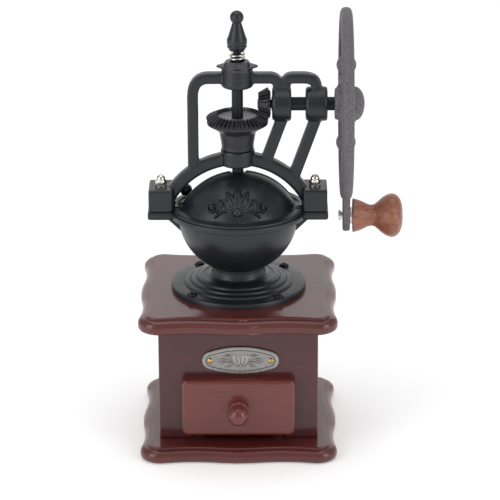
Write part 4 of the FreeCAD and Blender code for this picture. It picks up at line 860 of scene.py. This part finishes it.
class MILL_OT_yoke(bpy.types.Operator):
    """Model the yoke: arch, post, top bar, struts, bearing blocks, boss and collar"""
    bl_idname = "mill.yoke"
    bl_label = "Yoke"

    def execute(self, context):
        low, high = box_mm("yoke_frame")
        shaft_z = sum(box_mm("drive_shaft")[i].z for i in (0, 1)) / 2
        thick, ease = 8.0, 1.7
        bar_z, post_x, right_x = shaft_z + 16.45, -26.75, 47.3
        bm = bmesh.new()
        centre_z = low.z - 16.0
        for first, last in ((17.0, 82.0), (98.0, 163.0)):
            cast_bar(bm, arc_points(0.0, centre_z, 47.4, first, last, 44), 7.8, thick + 0.6, 1.9)
        left_loop = soften([(post_x, 165.0), (post_x, bar_z, 12.0), (-6.6, bar_z)], steps=14)
        cast_bar(bm, left_loop, 6.6, thick, ease)
        notch = 26.9
        left_neck = soften([(6.6, bar_z), (notch - 2.6, bar_z, 5.0), (notch - 2.6, shaft_z + 4.6)], steps=9)
        cast_bar(bm, left_neck, 6.3, thick, ease)
        right_neck = soften([(notch + 1.8, shaft_z + 4.6), (notch + 1.8, bar_z, 4.6), (right_x, bar_z, 8.4),
                             (right_x, shaft_z + 4.6)], steps=9)
        cast_bar(bm, right_neck, 6.3, thick, ease)
        for foot, head in (((16.6, 172.6), (28.2, 204.8)), ((33.2, 162.6), (48.2, 204.4))):
            cast_bar(bm, [foot, head], 7.0, thick, ease)
        for start, length in ((20.7, 11.6), (40.7, 13.2)):
            ring = soften([(5.85, 0.0), (9.6, 0.0, 1.0), (10.35, 1.6, 0.8), (10.35, length - 0.1, 1.6),
                           (5.85, length)], steps=5)
            lathe(bm, ring, 96, (start, 0, shaft_z), (1, 0, 0), closed=True)
        boss_foot, bore = high.z - 12.2, 5.25
        boss = soften([(bore, boss_foot), (9.95, boss_foot, 2.6), (9.3, high.z, 1.0), (bore, high.z)],
                      steps=5)
        lathe(bm, boss, 96, closed=True)
        collar_top = box_mm("crown_gear")[0].z - 0.3
        collar = soften([(bore, 171.6), (10.3, 171.6, 1.2), (10.3, collar_top, 1.2),
                         (bore, collar_top)], steps=5)
        lathe(bm, collar, 96, closed=True)
        for side in (-1, 1):
            near, far = sorted((side * 39.1, side * high.x))
            block(bm, (near, low.y, low.z), (far, high.y, low.z + 14.0), 0.9, 3)
        yoke = finish_piece("cast_yoke", bm, "frame", FINISHES["enamelled_iron"],
                            ["yoke_frame"], 50.0)
        weld_as_casting(yoke, 0.5, 6)
        return {"FINISHED"}


def leaf_height(across, up, lean, length, width):
    """Height of one pointed leaf lying from its foot in a leaning direction, with a vein."""
    along = across * math.sin(lean) + up * math.cos(lean)
    side = across * math.cos(lean) - up * math.sin(lean)
    t = along / length
    if not 0.0 < t < 1.0:
        return 0.0
    half = width * math.sin(math.pi * t**1.3)**0.6
    if abs(side) >= half:
        return 0.0
    swell = (1.0 - (side / half)**2)**0.6
    vein = 0.5 * math.exp(-(side / 0.35)**2)
    return swell * (1.0 - vein) * (0.5 + 0.5 * math.sin(math.pi * t**1.3))


def scroll_height(across, up, hand):
    """Height of one volute: a rope that winds in towards a round eye."""
    x, y = across * hand, up
    radius = math.hypot(x, y)
    if radius < 1.1:
        return 1.0 - (radius / 1.4)**2 * 0.4
    angle = math.atan2(y, x) % math.tau
    best = 9.0
    for turn in range(3):
        if angle + math.tau * turn < 1.6 * math.tau:
            wound = 1.3 + 0.68 * (angle + math.tau * turn) / math.pi
            best = min(best, abs(radius - wound))
    return max(0.0, 1.0 - (best / 0.75)**2)


def dome_relief(across, up):
    """The cast ornament: a standing palmette of round lobes between two volutes on stems."""
    height = 0.0
    for lean_degrees, length, width in ((0, 17.0, 2.7), (27, 15.0, 2.3), (52, 12.0, 2.0), (78, 9.0, 1.7)):
        for side in (-1, 1):
            leaf = leaf_height(across, up + 7.0, math.radians(lean_degrees * side), length, width)
            height = max(height, leaf * (1.0 - 0.06 * lean_degrees / 30))
    eye = math.hypot(across, up + 7.4)
    height = max(height, max(0.0, 1.0 - (eye / 2.7)**2)**0.5 * 1.2)
    for side in (-1, 1):
        height = max(height, scroll_height(across - side * 15.8, up + 6.2, side))
        stem_up = -9.4 + 2.6 * math.sin((abs(across) - 2.0) / 9.5 * math.pi)
        if 2.0 < side * across < 14.0:
            height = max(height, max(0.0, 1.0 - ((up - stem_up) / 1.0)**2) * 0.9)
        for foot_x, foot_up, lean_degrees, length in ((8.2, -7.0, 22, 8.0), (11.6, -7.6, 2, 5.6)):
            leaf = leaf_height(side * across - foot_x, up - foot_up, math.radians(lean_degrees), length, 1.5)
            height = max(height, leaf * 0.85)
    return height


def facing(azimuth, rise):
    """The outward direction at an azimuth about Z and a rise above the horizontal."""
    return Vector((math.cos(azimuth) * math.cos(rise), math.sin(azimuth) * math.cos(rise), math.sin(rise)))


class MILL_OT_dome(bpy.types.Operator):
    """Model the fixed half dome with its flat ring, bright crest and cast ornament"""
    bl_idname = "mill.dome"
    bl_label = "Front Dome"

    def execute(self, context):
        low = box_mm("front_dome")[0].z
        radius, wall, centre_z, ring_top = 38.5, 1.5, low - 15.3, low + 1.5
        turn = 7.0
        first = math.degrees(math.asin((ring_top - 0.4 - centre_z) / radius))
        last = math.degrees(math.acos(4.9 / radius))
        relief = iron_settings().relief_height
        columns, rows = 320, 118
        part = bmesh.new()
        bmesh.ops.create_grid(part, x_segments=columns, y_segments=rows, size=0.5)
        crest = Vector((math.sin(math.radians(turn)), -math.cos(math.radians(turn)), 0))
        for vert in part.verts:
            u, v = vert.co.x + 0.5, vert.co.y + 0.5
            azimuth = math.radians(180 + turn + 180 * u)
            lift = first + (last - first) * v
            rise = math.radians(lift)
            across = radius * math.cos(rise) * (azimuth - math.radians(270))
            up = radius * math.radians(lift - 47.0)
            out = facing(azimuth, rise)
            from_crest = out.dot(crest) * radius
            border = 0.4 * min(1.0, max(0.0, (1.9 - from_crest) / 0.5))
            reach = radius + relief * dome_relief(across, up) * 0.999 + border
            vert.co = Vector((0, 0, centre_z)) + out * reach
        bmesh.ops.recalc_face_normals(part, faces=part.faces)
        sample = part.faces[:][len(part.faces) // 2]
        outwards = sample.calc_center_median() - Vector((0, 0, centre_z))
        if sample.normal.dot(outwards) < 0:
            bmesh.ops.reverse_faces(part, faces=part.faces)
        rim = [e for e in part.edges if e.is_boundary]
        grown = bmesh.ops.extrude_edge_only(part, edges=rim)
        inner_verts = [item for item in grown["geom"] if isinstance(item, bmesh.types.BMVert)]
        for vert in inner_verts:
            from_centre = vert.co - Vector((0, 0, centre_z))
            vert.co = Vector((0, 0, centre_z)) + from_centre.normalized() * (radius - wall)
        bm = bmesh.new()
        add_shell_back(part, columns, rows, radius - wall, centre_z, first, last, turn)
        add_part(bm, part)
        base = 34.2
        flat = soften([(base - 1.6, low), (40.6, low, 0.3), (40.6, ring_top, 0.5),
                       (base + 1.6, ring_top, 0.7), (base - 1.0, ring_top + 1.2),
                       (base - 1.6, ring_top)], steps=3)
        sector(bm, flat, 180 + turn, 360 + turn, 150, 38.7)
        for x, y in ((-36.8, -6.2), (36.9, -4.4)):
            block(bm, (x - 1.8, y - 3.4, low + 0.1), (x + 1.75, y + 3.6, ring_top + 0.5), 0.45, 3)
        for angle in (176.0, 184.0):
            spot = Vector((math.cos(math.radians(angle + turn)), math.sin(math.radians(angle + turn)))) * 34.6
            lathe(bm, soften([(0.0, 0.0), (1.5, 0.0), (1.5, 2.2, 0.8), (0.0, 2.6)], steps=4), 32,
                  (spot.x, spot.y, ring_top - 0.2))
        finish_piece("cast_dome", bm, "frame", FINISHES["enamelled_iron"],
                     ["front_dome"], 44.0)
        return {"FINISHED"}


def add_shell_back(part, columns, rows, radius, centre_z, first, last, turn):
    """Close a dome patch with its plain inner wall."""
    back = bmesh.new()
    bmesh.ops.create_grid(back, x_segments=columns, y_segments=rows, size=0.5)
    for vert in back.verts:
        azimuth = math.radians(180 + turn + 180 * (vert.co.x + 0.5))
        rise = math.radians(first + (last - first) * (vert.co.y + 0.5))
        out = facing(azimuth, rise)
        vert.co = Vector((0, 0, centre_z)) + out * radius
    holder = bpy.data.meshes.new("back")
    back.to_mesh(holder)
    back.free()
    part.from_mesh(holder)
    bpy.data.meshes.remove(holder)


def sector(target, outline, start, end, steps, clear_x):
    """Turn a closed outline part of the way round; it is cut clear of the yoke's feet."""
    rings = []
    for step in range(steps + 1):
        angle = math.radians(start + (end - start) * step / steps)
        ring = []
        for radius, height in outline:
            x, y = radius * math.cos(angle), radius * math.sin(angle)
            if abs(y) < 12.0:
                x = max(-clear_x, min(clear_x, x))
            ring.append(Vector((x, y, height)))
        rings.append(ring)
    loft(target, rings)


# ------------------------------------------------------------------ wheel, grip, adjuster


def beaded_spoke(length):
    """Outline of a turned spoke: (radius, distance from the hub)."""
    bead_at, bead = 24.2, 6.0
    neck = flowing([(3.6, 5.0), (3.3, 9.0), (2.9, 14.0), (2.8, 18.4)], 4)
    ball = arc_points(0.0, bead_at, bead, -58, 58, 16)
    tail = flowing([(2.8, 30.2), (2.8, 36.0), (3.1, 44.0), (3.9, length)], 4)
    return [(0.0, 5.0)] + neck + ball + tail + [(0.0, length)]


class MILL_OT_wheel(bpy.types.Operator):
    """Model the cast hand wheel with four beaded spokes and a lug for the grip"""
    bl_idname = "mill.wheel"
    bl_label = "Hand Wheel"

    def execute(self, context):
        high = box_mm("hand_wheel")[1]
        radius = high.y
        centre = Vector((65.0, 0.0, high.z - radius))
        along = (1, 0, 0)
        wide, deep = 7.4, 7.4
        half, shoulder = wide / 2, radius - deep * 0.45
        rim = soften([(radius - deep, -half, 1.7), (shoulder, -half, 1.2), (radius, -half + 1.2, 2.4),
                      (radius, half - 1.2, 2.4), (shoulder, half, 1.2), (radius - deep, half, 1.7)],
                     closed=True, steps=4)
        bm = bmesh.new()
        lathe(bm, rim, 200, centre, along, closed=True)
        hub = soften([(3.25, -6.9), (9.2, -6.9, 0.6), (9.9, -5.0, 0.8), (8.9, -2.6, 1.0), (8.6, 2.8, 1.0),
                      (7.6, 4.4, 0.8), (3.25, 4.4)], steps=4)
        lathe(bm, hub, 96, centre, along, closed=True)
        for direction in ((0, 1, 0), (0, 0, 1), (0, -1, 0), (0, 0, -1)):
            lathe(bm, beaded_spoke(radius - deep + 1.6), 64, centre, direction)
        lug, thick = 9.6, 5.4
        grip_z = sum(box_mm("grip_washer")[i].z for i in (0, 1)) / 2
        reach = centre.z - grip_z
        outline = arc_points(0.0, -reach, lug, 180, 360, 28)
        outline += [(11.5, -radius + 4.0), (-11.5, -radius + 4.0)]
        lay = Matrix.Translation(centre) @ Matrix(((0, 0, 1, 0), (1, 0, 0, 0), (0, 1, 0, 0), (0, 0, 0, 1)))
        slab(bm, outline, thick / 2 - 4.4, thick / 2, 0.9, lay)
        wheel = finish_piece("cast_wheel", bm, "crank", FINISHES["wheel_iron"],
                             ["hand_wheel"], 60.0)
        weld_as_casting(wheel, 0.62, 4)

        cap_low, cap_high = box_mm("wheel_cap_nut")
        reach, height = cap_high.y, cap_high.x - (centre.x + 4.4)
        cap = [(0.0, 0.0), (reach - 0.4, 0.0), (reach - 0.1, 0.3)]
        cap += [(reach * math.cos(a), 0.9 + (height - 0.9) * math.sin(a))
                for a in (math.radians(d) for d in range(0, 91, 6))]
        bm = bmesh.new()
        lathe(bm, cap, 64, (centre.x + 4.4, 0, centre.z), along)
        finish_piece("wheel_cap", bm, "crank", FINISHES["wheel_iron"], ["wheel_cap_nut"])
        return {"FINISHED"}


class MILL_OT_grip(bpy.types.Operator):
    """Model the turned wooden grip"""
    bl_idname = "mill.grip"
    bl_label = "Grip"

    def execute(self, context):
        low, high = box_mm("hand_grip")
        centre = (low + high) / 2
        full = (high.z - low.z) / 2
        collar = soften([(2.2, 0.0), (9.9, 0.0, 0.5), (10.3, 0.7, 0.5), (9.95, 1.9, 0.3)], steps=3)
        waist = flowing([(9.95, 2.1), (9.1, 4.6), (8.1, 7.0), (6.9, 9.4), (6.45, 11.6), (6.9, 13.4),
                         (8.3, 15.2), (10.1, 17.2), (11.7, 19.4), (12.8, 21.6), (full, 23.8),
                         (12.9, 25.8), (11.7, 27.6), (9.3, 29.2), (6.0, 30.2), (3.5, 30.4)], 4)
        bore = [(3.4, 30.2), (3.4, 28.5), (2.2, 28.4)]
        bm = bmesh.new()
        lathe(bm, collar + waist[1:] + bore, 128, (low.x, centre.y, centre.z), (1, 0, 0), closed=True)
        finish_piece("turned_grip", bm, "grip", FINISHES["grip_wood"], ["hand_grip"], 40.0)
        return {"FINISHED"}


class MILL_OT_adjuster(bpy.types.Operator):
    """Model the finial nut and the stamped detent plate under its spring"""
    bl_idname = "mill.adjuster"
    bl_label = "Adjuster"

    def execute(self, context):
        low, high = box_mm("finial_nut")
        base = low.z
        foot = soften([(4.6, base), (6.05, base + 2.7, 0.3), (5.6, base + 3.4, 0.3), (6.05, base + 4.1, 0.3),
                       (6.05, base + 6.9, 0.6), (5.3, base + 8.4, 0.5), (2.65, base + 17.2)], steps=4)
        ball = arc_points(0.0, high.z - 4.1, 4.1, -48, 90, 26)
        bm = bmesh.new()
        lathe(bm, [(0.0, base)] + foot + ball, 96)
        finish_piece("finial", bm, "adjuster", FINISHES["enamelled_iron"], ["finial_nut"], 30.0)

        low, high = box_mm("detent_plate")
        side, sheet = 18.6, 1.1
        bm = bmesh.new()
        corner = side / 2
        square = [(x * corner, y * corner, 2.2) for x, y in ((-1, -1), (1, -1), (1, 1), (-1, 1))]
        plate_top = box_mm("adjuster_ring")[0].z
        spin = Matrix.Translation((0, 0, plate_top - sheet)) @ Matrix.Rotation(math.radians(45), 4, "Z")
        slab(bm, soften(square, closed=True, steps=5), 0.0, sheet, 0.2, spin)
        wide, tall = 6.3, 6.3
        tongue = soften([(-wide, 0.0, 0.6), (wide, 0.0, 0.6), (wide, 4.8, 0.4), (4.4, tall, 0.4),
                         (-4.4, tall, 0.4), (-wide, 4.8, 0.4)], closed=True, steps=5)
        stand = Matrix.Translation((0, -9.9, high.z - tall)) @ Matrix.Rotation(math.radians(90), 4, "X")
        slab(bm, tongue, 0.0, 0.9, 0.2, stand)
        for turn in range(4):
            angle = math.radians(45 + 90 * turn)
            spot = (math.cos(angle) * 6.9, math.sin(angle) * 6.9, plate_top)
            lathe(bm, soften([(0.0, -0.4), (0.95, -0.4), (0.95, 0.35, 0.3), (0.0, 0.5)], steps=3), 24, spot)
        finish_piece("stamped_plate", bm, "frame", FINISHES["sheet_steel"],
                     ["detent_plate"], 35.0)
        return {"FINISHED"}


# ------------------------------------------------------------------ stage


def soft_light(name, spot, size, power, colour="#ffffff"):
    """A large soft lamp that looks at the mill's middle."""
    lamp = bpy.data.lights.new(name, "AREA")
    lamp.shape = "RECTANGLE"
    lamp.size, lamp.size_y = size
    lamp.energy = power
    lamp.color = linear(colour)[:3]
    holder = bpy.data.objects.new(name, lamp)
    holder.location = spot
    target = Vector((0.0, 0.0, 0.12))
    holder.rotation_euler = (target - Vector(spot)).to_track_quat("-Z", "Y").to_euler()
    bpy.context.scene.collection.objects.link(holder)


class MILL_OT_stage(bpy.types.Operator):
    """Set up the plain floor, the soft light and the camera"""
    bl_idname = "mill.stage"
    bl_label = "Stage"

    def execute(self, context):
        settings = stage_settings()
        scene = bpy.context.scene
        bm = bmesh.new()
        bmesh.ops.create_grid(bm, x_segments=1, y_segments=1, size=6.0)
        mesh = bpy.data.meshes.new("floor")
        bm.to_mesh(mesh)
        bm.free()
        floor = bpy.data.objects.new("floor", mesh)
        scene.collection.objects.link(floor)
        material, tree, shader = new_material(
            "matt_paper", **{"Roughness": 0.95, "Specular IOR Level": 0.1,
                             "Emission Color": linear("#ffffff"), "Emission Strength": 0.2})
        tone = noise(tree, (900.0, 900.0, 900.0), detail=1.0)
        colour = blend_colour(tree, tone, tuple(settings.floor_colour) + (1.0,), linear("#fbfbfb"))
        tree.links.new(colour, shader.inputs["Base Color"])
        mesh.materials.append(material)

        world = scene.world or bpy.data.worlds.new("studio")
        scene.world = world
        world.use_nodes = True
        background = world.node_tree.nodes.get("Background")
        background.inputs["Color"].default_value = linear("#ffffff")
        background.inputs["Strength"].default_value = 0.46
        soft_light("left_window", (-0.95, -0.75, 0.55), (0.7, 1.1), 6.0)
        soft_light("right_window", (1.0, -0.7, 0.5), (0.6, 1.0), 5.0)
        soft_light("top_panel", (0.0, 0.1, 1.3), (1.2, 1.2), 5.5)
        soft_light("back_panel", (0.0, 1.5, 0.55), (2.0, 1.2), 4.5)

        camera = bpy.data.cameras.new("camera")
        camera.sensor_width = 36.0
        camera.lens = 201.6
        camera.clip_end = 50.0
        holder = bpy.data.objects.new("camera", camera)
        scene.collection.objects.link(holder)
        pitch, yaw, roll = math.radians(20.5), math.radians(-0.8), math.radians(0.4)
        distance = settings.camera_distance * MM
        target = Vector((0.0, 0.0, 0.1163))
        back = Vector((-math.sin(yaw) * math.cos(pitch), -math.cos(yaw) * math.cos(pitch), math.sin(pitch)))
        holder.location = target + back * distance
        facing = back.to_track_quat("Z", "Y").to_matrix().to_4x4()
        holder.matrix_world = Matrix.Translation(holder.location) @ facing @ Matrix.Rotation(-roll, 4, "Z")
        camera.shift_x = 0.0232
        scene.camera = holder
        scene.view_settings.view_transform = "Standard"
        return {"FINISHED"}


# ------------------------------------------------------------------ add-on


STEPS = (MILL_OT_frame_finishes, MILL_OT_boards, MILL_OT_drawer, MILL_OT_nameplate, MILL_OT_bowl,
         MILL_OT_yoke, MILL_OT_dome, MILL_OT_wheel, MILL_OT_grip, MILL_OT_adjuster, MILL_OT_stage)


class MILL_PT_sidebar(bpy.types.Panel):
    """Buttons for every group of pieces, and the sizes and colours they use"""
    bl_idname = "MILL_PT_sidebar"
    bl_label = "Coffee Mill"
    bl_space_type = "VIEW_3D"
    bl_region_type = "UI"
    bl_category = "Mill"

    def draw(self, context):
        layout = self.layout
        for settings in (wood_settings(), iron_settings(), stage_settings()):
            box = layout.box()
            for name in settings.bl_rna.properties.keys():
                if name not in ("rna_type", "name"):
                    box.prop(settings, name)
        for step in STEPS:
            layout.operator(step.bl_idname)


CLASSES = (MillWoodSettings, MillIronSettings, MillStageSettings) + STEPS + (MILL_PT_sidebar,)


def register():
    for cls in CLASSES:
        bpy.utils.register_class(cls)
    bpy.types.Scene.mill_wood = PointerProperty(type=MillWoodSettings)
    bpy.types.Scene.mill_iron = PointerProperty(type=MillIronSettings)
    bpy.types.Scene.mill_stage = PointerProperty(type=MillStageSettings)


def unregister():
    for name in ("mill_wood", "mill_iron", "mill_stage"):
        delattr(bpy.types.Scene, name)
    for cls in reversed(CLASSES):
        bpy.utils.unregister_class(cls)


def main():
    register()
    for step in STEPS:
        group, name = step.bl_idname.split(".")
        getattr(getattr(bpy.ops, group), name)()


if __name__ == "__main__":
    main()
